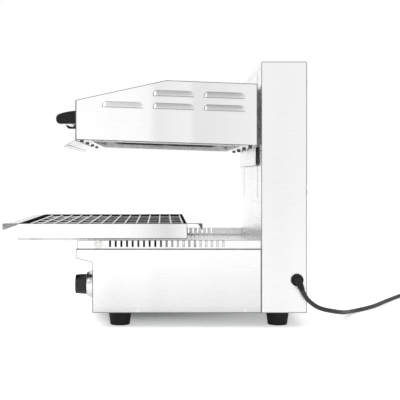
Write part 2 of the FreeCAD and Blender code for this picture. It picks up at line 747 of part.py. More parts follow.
def make_bezel():
    """The dished bezel around the knob: a hollow cone with its rim to the front."""
    centre = (knob_side, thermostat_axis)
    rim = base_front - d.bezel_deep
    outer = taper("bezel_outer", "Y", centre, rim, d.bezel_mouth, base_front, d.bezel_wide)
    inner = taper("bezel_inner", "Y", centre, rim - d.overrun, d.bezel_mouth - d.bezel_wall * 2,
                  base_front - d.bezel_wall, d.bezel_wide - d.bezel_wall * 2)
    hole = rod("bezel_hole", "Y", centre, d.neck_thick, rim, base_front + d.overrun)
    return keep(cut("knob_bezel", outer, [inner, hole]), "knob_bezel")


def make_lamps():
    """Two pilot lamps: a lens in front of the panel and a body behind it."""
    lamps = []
    for lamp in (0, 1):
        centre = (lamp_side - d.lamp_pitch * lamp, thermostat_axis)
        lens = taper("lamp_lens", "Y", centre, base_front - d.lamp_proud, d.lamp_neck, base_front,
                     d.lamp_lens)
        neck = rod("lamp_neck", "Y", centre, d.lamp_neck, base_front, base_front + d.lamp_deep)
        lamps.append(fuse("pilot_lamp", [lens, neck]))
    return keep(group("pilot_lamps", lamps), "pilot_lamps")


def make_terminal_block():
    """The terminal block under the column, where the lead to the hood starts."""
    back = d.column_back - d.terminal_back
    half = d.terminal_wide / 2
    low = base_low + d.panel
    piece = block("terminal_block", (-half, half), (back - d.terminal_deep, back),
                  (low, low + d.terminal_high))
    return keep(piece, "terminal_block")


# Tray. The shares give the places of the grid's stays between its middle and its outer stays.
STAY_SHARES = (0.406, 0.812, 1)


def slit(start, low):
    """The outline of one air slit in a rail or runner."""
    return rectangle((start - d.slit_wide / 2, start + d.slit_wide / 2), (low, low + d.slit_high))


def make_guide_rail(side):
    """A slotted guide rail on the deck, an angle with its foot turned inwards."""
    name = "guide_rail_right" if side == RIGHT else "guide_rail_left"
    inner = rail_face - d.panel
    outline = [(rail_face, deck_top), (rail_face, deck_top + d.rail_high),
               (inner, deck_top + d.rail_high), (inner, deck_top + d.panel),
               (inner - d.rail_foot, deck_top + d.panel),
               (inner - d.rail_foot, deck_top)]
    rail = profile(name, "Y", rail_start, column_front, [outline if side == RIGHT else mirrored(outline)])
    span = side_span(side, inner - d.overrun, rail_face + d.overrun)
    pin_hole = ((roller_place, roller_axis), d.roller_pin)
    pierce(rail, name + "_pin_hole", "X", circles=[pin_hole], through=span)
    first_slit = slit(rail_start + d.rail_slit_first, deck_top + d.slit_low)
    cut_slit = pierce(rail, name + "_slit", "X", [first_slit], through=span)
    pattern(rail, name + "_slits", cut_slit, "Y", d.slit_pitch, d.rail_slits)
    return keep(rail, name)


def make_runner(side):
    """A slotted runner of the tray, with an edge on top that rides on the guide roller."""
    name = "runner_right" if side == RIGHT else "runner_left"
    inner = runner_face - d.panel
    outline = [(inner, deck_top + d.runner_low), (runner_face, deck_top + d.runner_low),
               (runner_face, ride_low), (runner_face + d.runner_flange, ride_low),
               (runner_face + d.runner_flange, ride_top), (inner, ride_top)]
    runner = profile(name, "Y", pan_front, d.pan_back, [outline if side == RIGHT else mirrored(outline)])
    span = side_span(side, inner - d.overrun, runner_face + d.overrun)
    start = pan_front + d.runner_slit_first - d.slit_pitch
    cut_slit = pierce(runner, name + "_slit", "X", [slit(start, deck_top + d.slit_low)], through=span)
    pattern(runner, name + "_slits", cut_slit, "Y", d.slit_pitch, d.runner_slits)
    return keep(runner, name)


def make_cross_bars():
    """Two flat bars that join the runners under the pan."""
    half = runner_face - d.panel
    bars = []
    for start in (pan_front + d.bar_inset, d.pan_back - d.bar_inset - d.bar_wide):
        bars.append(block("cross_bar", (-half, half), (start, start + d.bar_wide),
                          (ride_top - d.bar_thick, ride_top)))
    return keep(group("carriage_cross_bars", bars), "carriage_cross_bars")


def make_roller(side):
    """A nylon guide roller outside the rail, under the riding edge of the runner."""
    name = "guide_roller_right" if side == RIGHT else "guide_roller_left"
    near = rail_face + d.fit_gap
    wheel = rod(name + "_wheel", "X", (roller_place, roller_axis), d.roller_thick,
                *side_span(side, near, near + d.roller_wide))
    bore = rod(name + "_bore", "X", (roller_place, roller_axis), d.roller_pin + d.running_gap * 2,
               *side_span(side, near - d.overrun, near + d.roller_wide + d.overrun))
    return keep(cut(name, wheel, [bore]), name)


def make_roller_pins():
    """The pins of the guide rollers, headed inside the rail."""
    pins = []
    for side in (LEFT, RIGHT):
        centre = (roller_place, roller_axis)
        inner = rail_face - d.panel
        pin = rod("roller_pin", "X", centre, d.roller_pin,
                  *side_span(side, inner, rail_face + d.fit_gap + d.roller_wide))
        head = rod("roller_pin_head", "X", centre, d.pin_head,
                   *side_span(side, inner - d.pin_head_high, inner))
        pins.append(fuse("roller_pin_whole", [pin, head]))
    return keep(group("roller_pins", pins), "roller_pins")


def make_pan():
    """The drip pan: a trough with ledges for the grid and a flange at each end."""
    half = pan_half
    trough = block("pan_trough", (-half, half), (pan_front, d.pan_back), (pan_low, pan_rim))
    hollow = block("pan_hollow", (-half + d.panel, half - d.panel),
                   (pan_front + d.panel, d.pan_back - d.panel), (pan_low + d.panel, pan_rim + d.overrun))
    shell = cut("pan_shell", trough, [hollow])
    parts = [shell]
    rim = (pan_rim - d.panel, pan_rim)
    parts.append(block("pan_front_flange", (-half, half), (pan_front - d.pan_front_flange, pan_front), rim))
    parts.append(block("pan_back_flange", (-half, half), (d.pan_back, d.pan_back + d.pan_back_flange), rim))
    front_edge = pan_front - d.pan_front_flange
    back_edge = d.pan_back + d.pan_back_flange
    parts.append(block("pan_front_lip", (-half, half), (front_edge, front_edge + d.panel),
                       (pan_rim - d.pan_front_drop, pan_rim)))
    parts.append(block("pan_back_lip", (-half, half), (back_edge - d.panel, back_edge),
                       (pan_rim - d.pan_back_drop, pan_rim)))
    for side in (LEFT, RIGHT):
        parts.append(block("pan_ledge", side_span(side, half - d.panel - d.ledge_wide, half - d.panel),
                           (pan_front + d.panel, d.pan_back - d.panel), (ledge_top - d.panel, ledge_top)))
    return keep(fuse("drip_pan", parts), "drip_pan")


def make_grid():
    """The wire grid: wires across the machine on stays that run to the back, welded where they cross."""
    reach = pan_half - d.panel - d.fit_gap * 2
    last = d.pan_back - d.wire_back
    first = last - d.wire_pitch * (d.wires - 1)
    wires = []
    for number in range(int(d.wires.value)):
        place = first + d.wire_pitch * number
        wires.append(rod("grid_wire", "X", (place, wire_axis), d.wire_thick, -reach, reach))
    stays = [ZERO] + [side * (pan_half - d.stay_inset) * share for side in (LEFT, RIGHT)
                      for share in STAY_SHARES]
    for place in stays:
        wires.append(rod("grid_stay", "Y", (place, stay_axis), d.stay_thick,
                         first - d.wire_thick / 2, last + d.wire_thick / 2))
    grid = fuse("grid", wires)
    grid.Refine = False
    return keep(grid, "grid")


# Column

def make_column_side(side):
    """A side plate of the column with a rear flange for the back sheet's screws."""
    name = "column_side_right" if side == RIGHT else "column_side_left"
    corners = [(column_front, d.overall_high), (d.column_back, d.overall_high)]
    outline = rectangle((column_front, d.column_back), (base_low, d.overall_high))
    holes = [((gland_place, gland_axis), d.gland_neck)] if side == RIGHT else []
    plate = profile(name + "_plate", "X", *side_span(side, inner_half, half_wide), [outline], holes)
    round_corners(plate, name, "X", corners, d.column_corner)
    flange = block(name + "_flange", side_span(side, inner_half - d.base_flange, inner_half),
                   (column_inner_back - d.panel, column_inner_back), (base_low + d.base_flange, cap_low))
    tools = [rod(name + "_hole", "Y", place, d.screw_thick, column_inner_back - d.panel - d.overrun,
                 d.column_back + d.overrun) for place in back_screws if place[0].value * side > 0]
    return keep(cut(name, fuse(name + "_whole", [plate, flange]), tools), name)


def make_column_front():
    """The column's front sheet above the deck, with a slot for each lift arm."""
    outline = rectangle((-inner_half, inner_half), (deck_top - d.front_sheet_sunk, cap_low))
    sheet_front = profile("column_front", "Y", column_front, column_inner_front, [outline])
    slots = [rectangle((side * slot_side - d.slot_wide / 2, side * slot_side + d.slot_wide / 2),
                       (slot_low, slot_top)) for side in (LEFT, RIGHT)]
    pierce(sheet_front, "lift_slots", "Y", slots,
           through=(column_front - d.overrun, column_inner_front + d.overrun))
    return keep(sheet_front, "column_front")


def make_column_back():
    """The column's back sheet, held by screws along both edges."""
    outline = rectangle((-inner_half, inner_half), (base_low, cap_low))
    holes = [(place, d.screw_thick) for place in back_screws]
    plate = profile("column_back", "Y", column_inner_back, d.column_back, [outline], holes)
    return keep(plate, "column_back")


def make_column_cap():
    """The column's cap, a sheet bent down at the front and the back."""
    top = d.overall_high
    outline = [(column_front, cap_low), (column_front, top), (d.column_back, top), (d.column_back, cap_low),
               (column_inner_back, cap_low), (column_inner_back, top - d.panel),
               (column_inner_front, top - d.panel), (column_inner_front, cap_low)]
    cap = profile("column_cap", "X", -inner_half, inner_half, [outline])
    round_corners(cap, "cap", "X", [(column_front, top), (d.column_back, top)], d.column_corner)
    inner = [(column_inner_front, top - d.panel), (column_inner_back, top - d.panel)]
    round_corners(cap, "cap_inner", "X", inner, d.column_corner - d.panel)
    return keep(cap, "column_cap")


def make_guide_bars():
    """Flat guide bars for the lift, each with a standoff welded on at both ends."""
    low = deck_top + d.guide_low
    top = d.overall_high - d.guide_top
    bars = []
    for side in (LEFT, RIGHT):
        span = (side * guide_side - d.guide_wide / 2, side * guide_side + d.guide_wide / 2)
        bar = block("guide_bar", span, (guide_front, guide_back), (low, top))
        stands = [block("guide_stand", span, (column_inner_front, guide_front), reach)
                  for reach in ((low, low + d.guide_stand), (top - d.guide_stand, top))]
        bars.append(fuse("guide_bar_whole", [bar] + stands))
    return keep(group("guide_bars", bars), "guide_bars")


def make_shaft_bearings():
    """Bearing plates that hang from the cap and carry the lift shaft."""
    bearings = []
    for side in (LEFT, RIGHT):
        span = side_span(side, d.bearing_side, d.bearing_side + d.bearing_thick)
        half = d.bearing_wide / 2
        plate = block("bearing_plate", span, (shaft_place - half, shaft_place + half),
                      (shaft_high - half, d.overall_high - d.panel))
        bore = rod("bearing_bore", "X", (shaft_place, shaft_high), d.shaft_thick + d.running_gap * 2,
                   span[0] - d.overrun, span[1] + d.overrun)
        bearings.append(cut("shaft_bearing", plate, [bore]))
    return keep(group("shaft_bearings", bearings), "shaft_bearings")


def make_lift_shaft():
    """The lift shaft, which keeps both chain wheels in step."""
    shaft = rod("lift_shaft", "X", (shaft_place, shaft_high), d.shaft_thick, -shaft_end, shaft_end)
    return keep(shaft, "lift_shaft")


def make_chain_wheels():
    """Two chain wheels on the lift shaft."""
    wheels = []
    diameter = d.wheel_pitch - d.chain_thick - d.fit_gap * 2
    for side in (LEFT, RIGHT):
        span = side_span(side, d.chain_side - d.chain_wide / 2, d.chain_side + d.chain_wide / 2)
        disc = rod("wheel_disc", "X", (shaft_place, shaft_high), diameter, *span)
        bore = rod("wheel_bore", "X", (shaft_place, shaft_high), d.shaft_thick,
                   span[0] - d.overrun, span[1] + d.overrun)
        wheels.append(cut("chain_wheel", disc, [bore]))
    return keep(group("chain_wheels", wheels), "chain_wheels")


def make_chain_spans(name, place, low, high):
    """The straight spans of both chains on one side of the wheels."""
    spans = []
    for side in (LEFT, RIGHT):
        across = side_span(side, d.chain_side - d.chain_wide / 2, d.chain_side + d.chain_wide / 2)
        along = (place - d.chain_thick / 2, place + d.chain_thick / 2)
        spans.append(block("chain_span", across, along, (low, high)))
    return keep(group(name, spans), name)


def make_chain_turns():
    """The half turns of both chains over their wheels."""
    turns = []
    for side in (LEFT, RIGHT):
        span = side_span(side, d.chain_side - d.chain_wide / 2, d.chain_side + d.chain_wide / 2)
        ring = rod("chain_ring", "X", (shaft_place, shaft_high), d.wheel_pitch + d.chain_thick, *span)
        hole = rod("chain_hole", "X", (shaft_place, shaft_high), d.wheel_pitch - d.chain_thick,
                   span[0] - d.overrun, span[1] + d.overrun)
        lower = block("chain_lower", (span[0] - d.overrun, span[1] + d.overrun),
                      (shaft_place - d.wheel_pitch, shaft_place + d.wheel_pitch),
                      (shaft_high - d.wheel_pitch, shaft_high))
        turns.append(cut("chain_turn", ring, [hole, lower]))
    return keep(group("lift_chain_turns", turns), "lift_chain_turns")


def make_counterweight():
    """The steel counterweight that hangs on the rear spans of the chains."""
    half = half_wide - d.weight_inset
    weight = block("counterweight", (-half, half),
                   (chain_back_place - d.weight_thick / 2, chain_back_place + d.weight_thick / 2),
                   (d.weight_low, weight_top))
    return keep(weight, "counterweight")


def make_hood_lead():
    """The flexible lead from the terminal block up to the crosshead."""
    place = d.column_back - d.terminal_back - d.terminal_deep / 2
    lead = rod("hood_lead", "Z", (ZERO, place), d.lead_thick,
               base_low + d.panel + d.terminal_high, arm_low)
    return keep(lead, "hood_lead")


# Lift carriage

def make_lift_plate():
    """The lift plate behind the hood, which hangs below it."""
    half = half_wide - d.lift_plate_inset
    plate = block("lift_plate", (-half, half), (hood_back, lift_plate_back),
                  (hood_back_low - d.lift_plate_drop, hood_back_low + d.hood_back_high))
    return keep(plate, "lift_plate")


def make_lift_arms():
    """The flat arms that pass through the slots of the column."""
    arms = []
    for side in (LEFT, RIGHT):
        span = (side * slot_side - d.arm_thick / 2, side * slot_side + d.arm_thick / 2)
        arms.append(block("lift_arm", span, (lift_plate_back, crosshead_front), (arm_low, arm_top)))
    return keep(group("lift_arms", arms), "lift_arms")


def make_crosshead():
    """The crosshead inside the column, with lugs for the chains and for the lead."""
    half = half_wide - d.crosshead_inset
    plate = block("crosshead_plate", (-half, half), (crosshead_front, crosshead_back), (arm_low, arm_top))
    parts = [plate]
    for side in (LEFT, RIGHT):
        middle = side * d.chain_side
        parts.append(block("chain_lug", (middle - d.lug_wide / 2, middle + d.lug_wide / 2),
                           (crosshead_back, chain_front_place + d.chain_thick),
                           (lug_low, lug_low + d.lug_high)))
    lead_place = d.column_back - d.terminal_back - d.terminal_deep / 2
    parts.append(block("lead_lug", (-d.lug_wide / 2, d.lug_wide / 2),
                       (crosshead_back, lead_place + d.lug_wide / 2), (arm_low, arm_low + d.lug_high)))
    return keep(fuse("lift_crosshead", parts), "lift_crosshead")


def make_glide_pads():
    """Nylon pads that slide on the front and back faces of the guide bars."""
    pads = []
    heights = [(arm_low + d.pad_inset, arm_low + d.pad_inset + d.pad_high),
               (arm_top - d.pad_inset - d.pad_high, arm_top - d.pad_inset)]
    arm_face = slot_side + d.arm_thick / 2
    for side in (LEFT, RIGHT):
        bar_span = (side * guide_side - d.guide_wide / 2, side * guide_side + d.guide_wide / 2)
        for reach in heights:
            pads.append(block("rear_pad", bar_span, (guide_back + d.fit_gap, crosshead_front), reach))
            pads.append(block("front_pad", side_span(side, arm_face, guide_side),
                              (column_inner_front + d.pad_gap, guide_front - d.fit_gap), reach))
    return keep(group("glide_pads", pads), "glide_pads")


# Hood. Louvres are counted from the front in a row and from the lower row up. An element's runs are
# even in number, so that both its ends lie at the back. A row of holes has its place and its count.
LOUVRE_PLACES = ((0, 0), (1, 0), (2, 0), (1, 1), (2, 1))
ELEMENT_RUNS = 4
HANDLE_SHOULDER_SHARE = 0.42
HANDLE_FALL_SHARE = 0.1
HANDLE_BROW_SHARE = 0.62
HANDLE_ROUND_SHARE = 0.2
tube_pitch = tube_half * 2 / (ELEMENT_RUNS * 2 - 1)
tube_start = reflector_start + d.tube_front
tube_stop = reflector_stop - d.tube_back
FRONT_ROW = (d.front_row, 4)
BACK_ROWS = ((d.back_row, 4), (d.back_row + d.row_pitch, 3))


def hood_point(back, high):
    """A place in the hood: back from its front and up from its sloping lower edge."""
    return (hood_front + back, hood_back_low + d.hood_rise - hood_slope_share * back + high)


def make_hood_side(side):
    """A side plate of the hood with pressed louvres that open downwards."""
    name = "hood_side_right" if side == RIGHT else "hood_side_left"
    outline = [hood_point(ZERO, ZERO), hood_point(ZERO, d.hood_front_high),
               hood_point(d.hood_ridge, d.hood_ridge_high), hood_point(d.hood_long, d.hood_back_high),
               hood_point(d.hood_long, ZERO)]
    plate = profile(name, "X", *side_span(side, hood_inner_half, hood_half), [outline])
    mouths = []
    for column, line in LOUVRE_PLACES:
        start = d.louvre_front + d.louvre_pitch * column
        stop = start + d.louvre_long
        low = d.louvre_row + d.louvre_row_pitch * line
        root = [hood_point(start, low), hood_point(stop, low),
                hood_point(stop - d.louvre_draw, low + d.louvre_high),
                hood_point(start + d.louvre_draw, low + d.louvre_high)]
        crest = [hood_point(start + d.louvre_draw / 2, low), hood_point(stop - d.louvre_draw / 2, low),
                 hood_point(stop - d.louvre_draw, low + d.louvre_lip),
                 hood_point(start + d.louvre_draw, low + d.louvre_lip)]
        near = draw(plate, "louvre_root", "X", side * hood_half, [root])
        far = draw(plate, "louvre_crest", "X", side * (hood_half + d.louvre_proud), [crest])
        loft = plate.newObject("PartDesign::AdditiveLoft", "louvre")
        loft.Profile = near
        loft.Sections = [far]
        loft.Ruled = True
        mouths.append([hood_point(start + d.louvre_draw, low - d.louvre_lip),
                       hood_point(stop - d.louvre_draw, low - d.louvre_lip),
                       hood_point(stop - d.louvre_draw, low + d.louvre_lip * 2),
                       hood_point(start + d.louvre_draw, low + d.louvre_lip * 2)])
    pierce(plate, "louvre_mouths", "X", mouths,
           through=side_span(side, hood_inner_half - d.overrun, hood_half + d.louvre_proud / 2))
    return keep(plate, name)


def make_hood_top():
    """The top cover, one sheet bent at the ridge."""
    front = (ZERO, d.hood_front_high)
    ridge = (d.hood_ridge, d.hood_ridge_high)
    back = (d.hood_long, d.hood_back_high)
    outer = [hood_point(*place) for place in (front, ridge, back)]
    inner = [(place[0], place[1] - d.panel) for place in reversed(outer)]
    cover = profile("hood_top_cover", "X", -hood_inner_half, hood_inner_half, [outer + inner])
    return keep(cover, "hood_top_cover")


def make_hood_front():
    """The hood's front panel."""
    low = hood_point(ZERO, ZERO)[1]
    panel = block("hood_front_panel", (-hood_inner_half, hood_inner_half),
                  (hood_front, hood_front + d.panel), (low, low + d.hood_front_high - d.panel))
    return keep(panel, "hood_front_panel")


def make_hood_back():
    """The hood's back panel, against the lift plate."""
    panel = block("hood_back_panel", (-hood_inner_half, hood_inner_half), (hood_back - d.panel, hood_back),
                  (hood_back_low, hood_back_low + d.hood_back_high - d.panel))
    return keep(panel, "hood_back_panel")


def make_visor():
    """The flared visor along the hood's lower front edge, with a hem."""
    low = hood_point(ZERO, ZERO)[1]
    root = hood_front - d.panel
    flare = (hood_front - d.visor_reach, low - d.visor_drop)
    hem = (flare[0] - d.hem_reach, flare[1] - d.hem_drop)
    outline = [(hood_front, low + d.visor_mount), (root, low + d.visor_mount), (root, low), flare, hem,
               (hem[0], hem[1] - d.panel), (flare[0], flare[1] - d.panel), (hood_front, low - d.panel)]
    return keep(profile("hood_visor", "X", -hood_half, hood_half, [outline]), "hood_visor")


def make_strip(name, start, rows):
    """A bottom strip of the hood, with rows of round holes whose edges are drawn down into collars."""
    stop = start + d.strip_wide
    outline = [hood_point(start, ZERO), hood_point(stop, ZERO), hood_point(stop, d.panel),
               hood_point(start, d.panel)]
    strip = profile(name, "X", -hood_inner_half, hood_inner_half, [outline])
    holes = []
    for row, count in rows:
        place, underside = hood_point(start + row, ZERO)
        centres = [(d.hole_pitch * (number - (count - 1) / 2), place) for number in range(count)]
        collars = [(centre, d.strip_hole + d.collar_wall * 2) for centre in centres]
        pad(strip, name + "_collars", "Z", underside - d.collar_deep, underside + d.panel / 2, (), collars)
        holes.extend((centre, d.strip_hole) for centre in centres)
    pierce(strip, name + "_holes", "Z", circles=holes)
    return keep(strip, name)


def make_reflector():
    """The reflector, an upturned tray of bright sheet around the heating elements."""
    start, stop = reflector_start, reflector_stop
    low = -d.reflector_drop
    top = d.reflector_high
    half = reflector_half
    outline = [hood_point(start, low), hood_point(stop, low), hood_point(stop, top),
               hood_point(start, top)]
    tray = profile("reflector", "X", -half, half, [outline])
    hollow = [hood_point(start + d.panel, low - d.overrun), hood_point(stop - d.panel, low - d.overrun),
              hood_point(stop - d.panel, top - d.panel), hood_point(start + d.panel, top - d.panel)]
    pierce(tray, "reflector_hollow", "X", [hollow], through=(-half + d.panel, half - d.panel))
    notches = [(hood_point(place, d.notch_high), d.corner_notch)
               for place in (start + d.corner_notch / 2, stop - d.corner_notch / 2)]
    for side in (LEFT, RIGHT):
        pierce(tray, "corner_notches", "X", circles=notches,
               through=side_span(side, half - d.panel, half + d.overrun))
    lean = hood_slope_share * (top - d.tube_low)
    holes = [((place, hood_front + tube_stop + lean), d.tube_thick + d.tube_gap * 2)
             for element in (0, 1) for place in element_ends(element)]
    pierce(tray, "element_holes", "Z", circles=holes, through=(hood_back_low + top / 2, d.overall_high))
    return keep(tray, "reflector")


def element_ends(element):
    """How far right of the machine's middle an element's two ends lie."""
    first = -tube_half + tube_pitch * ELEMENT_RUNS * element
    return first, first + tube_pitch * (ELEMENT_RUNS - 1)


def make_blanket():
    """The insulation blanket on the reflector."""
    start = reflector_start + d.blanket_inset / 2
    stop = tube_stop - d.blanket_inset / 2
    outline = [hood_point(start, d.reflector_high), hood_point(stop, d.reflector_high),
               hood_point(stop, d.reflector_high + d.blanket_high),
               hood_point(start, d.reflector_high + d.blanket_high)]
    half = reflector_half - d.blanket_inset / 2
    return keep(profile("insulation_blanket", "X", -half, half, [outline]), "insulation_blanket")


def make_hangers():
    """Three sheet hangers across the elements, the middle one with a clip at each outer run."""
    across = (-tube_half - d.tube_thick, tube_half + d.tube_thick)
    half = d.hanger_thick / 2
    middle = (tube_start + tube_stop) / 2
    hangers = []
    for number in (LEFT, 0, RIGHT):
        place = middle + d.hanger_pitch * number
        low = hood_point(place - half, d.tube_low + d.tube_thick / 2 + d.fit_gap)[1]
        top = hood_point(place + half, d.reflector_high - d.panel)[1]
        along = (hood_front + place - half, hood_front + place + half)
        hanger = block("element_hanger", across, along, (low, top))
        hangers.append(hanger if number else with_clips(hanger, middle, low))
    return keep(group("element_hangers", hangers), "element_hangers")


def with_clips(hanger, place, low):
    """A hanger with a strap down the inner side of each outer run and an eye at the strap's end."""
    eye = hood_point(place, d.clip_high)
    outer = tube_half - d.tube_thick / 2 - d.fit_gap
    solids = [hanger]
    holes = []
    for side in (LEFT, RIGHT):
        across = side_span(side, outer - d.hanger_thick, outer)
        along = (eye[0] - d.clip_wide / 2, eye[0] + d.clip_wide / 2)
        solids.append(block("clip_strap", across, along, (eye[1], low + d.clip_wide / 2)))
        solids.append(rod("clip_end", "X", eye, d.clip_wide, *across))
        holes.append(rod("clip_hole", "X", eye, d.clip_eye, across[0] - d.overrun, across[1] + d.overrun))
    return cut("clipped_hanger", fuse("hanger_with_clips", solids), holes)


def rounded_path(points, radii):
    """Straight runs through the points, joined by tangent arcs of the given radii."""
    edges = []
    start = points[0]
    for before, corner, after, radius in zip(points, points[1:], points[2:], radii):
        incoming = (corner - before).normalize()
        outgoing = (after - corner).normalize()
        turn = incoming.getAngle(outgoing)
        setback = radius * math.tan(turn / 2)
        enter = corner - incoming * setback
        leave = corner + outgoing * setback
        inward = (outgoing - incoming).normalize()
        centre = corner + inward * (radius / math.cos(turn / 2))
        middle = centre - inward * radius
        if (enter - start).Length > radius * TINY_SHARE:
            edges.append(Part.LineSegment(start, enter).toShape())
        edges.append(Part.Arc(enter, middle, leave).toShape())
        start = leave
    edges.append(Part.LineSegment(start, points[-1]).toShape())
    return Part.Wire(edges)


def tube_along(path, radius):
    """A round tube along a path, with ends square to it."""
    start = path.Edges[0]
    heading = start.tangentAt(start.FirstParameter)
    section = Part.Wire(Part.makeCircle(radius, start.valueAt(start.FirstParameter), heading))
    return path.makePipeShell([section], True, False)


def make_elements():
    """Two tubular heating elements, each four runs along the hood with its ends turned up behind."""
    tubes = []
    slope = math.degrees(math.atan(hood_slope_share.value))
    front, back = tube_start.value, tube_stop.value
    bend = tube_pitch.value / 2
    for element in (0, 1):
        first, last = [end.value for end in element_ends(element)]
        points = [FreeCAD.Vector(first, back, d.tube_tail.value)]
        for run in range(ELEMENT_RUNS):
            place = first + tube_pitch.value * run
            ends = (back, front) if run % 2 == 0 else (front, back)
            points += [FreeCAD.Vector(place, end, 0) for end in ends]
        points.append(FreeCAD.Vector(last, back, d.tube_tail.value))
        radii = [bend] * (len(points) - 2)
        radii[0] = radii[-1] = d.tube_turn_up.value
        tubes.append(tube_along(rounded_path(points, radii), d.tube_thick.value / 2))
    elements = doc.addObject("Part::Feature", "heating_elements")
    elements.Shape = Part.Compound(tubes)
    start = hood_point(ZERO, d.tube_low)
    turn = FreeCAD.Rotation(FreeCAD.Vector(1, 0, 0), -slope)
    elements.Placement = FreeCAD.Placement(FreeCAD.Vector(0, start[0].value, start[1].value), turn)
    return keep(elements, "heating_elements")


def make_handle():
    """The moulded handle: two ends on the hood's front and a round grip between them."""
    low = hood_point(ZERO, d.handle_low)[1]
    top = low + d.handle_high
    back = hood_front
    front = back - d.handle_reach
    shoulder = (back - d.handle_reach * HANDLE_SHOULDER_SHARE, top - d.handle_high * HANDLE_FALL_SHARE)
    brow = (front, low + d.handle_high * HANDLE_BROW_SHARE)
    chin = (front, low)
    outline = [(back, low), (back, top), shoulder, brow, chin]
    half = d.handle_wide / 2
    ends = []
    for side in (LEFT, RIGHT):
        end = profile("handle_end", "X", *side_span(side, half - d.handle_end, half), [outline])
        round_corners(end, "handle_end", "X", [brow, chin], d.handle_high * HANDLE_ROUND_SHARE)
        round_corners(end, "handle_shoulder", "X", [shoulder], d.handle_high)
        ends.append(end)
    grip_axis = (front + d.grip_back, low + d.handle_high / 2)
    grip = rod("handle_grip", "X", grip_axis, d.grip_thick, -half + d.handle_end, half - d.handle_end)
    return keep(fuse("handle", ends + [grip]), "handle")


# Mains lead. The cord's route starts after the strain relief: down and round the back of the column to
# the table, then along the table behind the machine. Its points were chosen by hand from the photograph.
CORD_EXIT = 14
CORD_APPROACH = 40
CORD_ROUTE = (
    (239.8, 306, 54.3),
    (236, 326, 40),
    (219, 366, 31),
    (165, 395, 22),
    (104, 401, 13.5),
    (57, 414, 7),
    (26, 437, 4.75),
    (-2, 466, 4.75),
    (-49, 503, 4.75),
    (-139, 553, 4.75),
    (-229, 609, 4.75),
)
COIL_MIDDLE = (-262, 702)
COIL_START_DEGREES = 238
COIL_STEP_DEGREES = 60
COIL_FINE_STEPS = 16
COIL_DIP_SHARE = 0.4
QUARTER = 90
ARC_SHARE = 0.45
TINY_SHARE = 0.001


def make_gland():
    """The cable gland in the column's side, with a strain relief that bends down and back."""
    outside = half_wide
    parts = []
    nut_far = -(d.panel + d.gland_nut_long)
    parts.append(rod("gland_nut", "X", (ZERO, ZERO), d.gland_nut, nut_far, -d.panel))
    parts.append(rod("gland_neck", "X", (ZERO, ZERO), d.gland_neck, -d.panel, ZERO))
    parts.append(rod("gland_flange", "X", (ZERO, ZERO), d.gland_wide, ZERO, d.gland_thick))
    bend_start = d.gland_thick + d.relief_straight
    parts.append(rod("relief_straight", "X", (ZERO, ZERO), d.relief_root, d.gland_thick, bend_start))
    elbow = doc.addObject("Part::Torus", "relief_elbow")
    bind(elbow, "Radius1", d.relief_bend)
    bind(elbow, "Radius2", d.relief_root / 2)
    elbow.Angle3 = QUARTER
    elbow.Placement = FreeCAD.Placement(FreeCAD.Vector(), FreeCAD.Rotation(FreeCAD.Vector(1, 0, 0), 90))
    place_at(elbow, (bend_start, ZERO, -d.relief_bend))
    parts.append(elbow)
    drop = -d.relief_bend
    parts.append(taper("relief_end", "Z", (bend_start + d.relief_bend, ZERO),
                       drop - d.relief_long, d.relief_tip, drop, d.relief_root))
    gland = fuse("cable_gland", parts)
    gland.Placement = FreeCAD.Placement(FreeCAD.Vector(), FreeCAD.Rotation(FreeCAD.Vector(1, 0, 0), 1))
    place_at(gland, (outside, gland_place, gland_axis))
    bind(gland, ".Placement.Rotation.Angle", d.relief_turn)
    return keep(gland, "cable_gland")


def relief_exit():
    """The middle of the strain relief's end face and the direction in which it points."""
    turn = math.radians(d.relief_turn.value)
    heading = FreeCAD.Vector(0, math.sin(turn), -math.cos(turn))
    down = d.relief_bend.value + d.relief_long.value
    out = half_wide.value + d.gland_thick.value + d.relief_straight.value + d.relief_bend.value
    return FreeCAD.Vector(out, gland_place.value, gland_axis.value) + heading * down, heading


def coil_points(angle_step):
    """The coil's centre line as points and headings, from a formula.

    The angle runs clockwise. On the table the radius shrinks by one pitch a turn; in the next half turn
    the line climbs one layer and dips inwards, clear of the turn beside it; then the radius grows again
    at the same rate, and the last half turn rises to the plug's axis.
    """
    pitch = d.cord_thick.value + d.coil_gap.value
    turns_in = d.coil_turns_in.value
    outer = d.coil_middle.value / 2 + pitch * turns_in / 2
    inner = outer - pitch * turns_in
    low = (d.cord_thick.value + d.coil_gap.value) / 2
    rise = d.plug_wide.value / 2 - low - pitch
    whole = turns_in * 2 + 0.5
    steps = int(round(whole * 360 / angle_step))
    points = []
    for step in range(steps + 1):
        turn = whole * step / steps
        if turn <= turns_in:
            radius, height = outer - pitch * turn, low
        elif turn <= turns_in + 0.5:
            climb = (turn - turns_in) / 0.5
            radius = inner - pitch * COIL_DIP_SHARE * math.sin(math.pi * climb)
            height = low + pitch * (0.5 - 0.5 * math.cos(math.pi * climb))
        else:
            radius = inner + pitch * (turn - turns_in - 0.5)
            arrival = max(0, (turn - whole) / 0.5 + 1)
            height = low + pitch + rise * (0.5 - 0.5 * math.cos(math.pi * arrival))
        angle = math.radians(COIL_START_DEGREES - 360 * turn)
        points.append(FreeCAD.Vector(COIL_MIDDLE[0] + radius * math.cos(angle),
                                     COIL_MIDDLE[1] + radius * math.sin(angle), height))
    return points


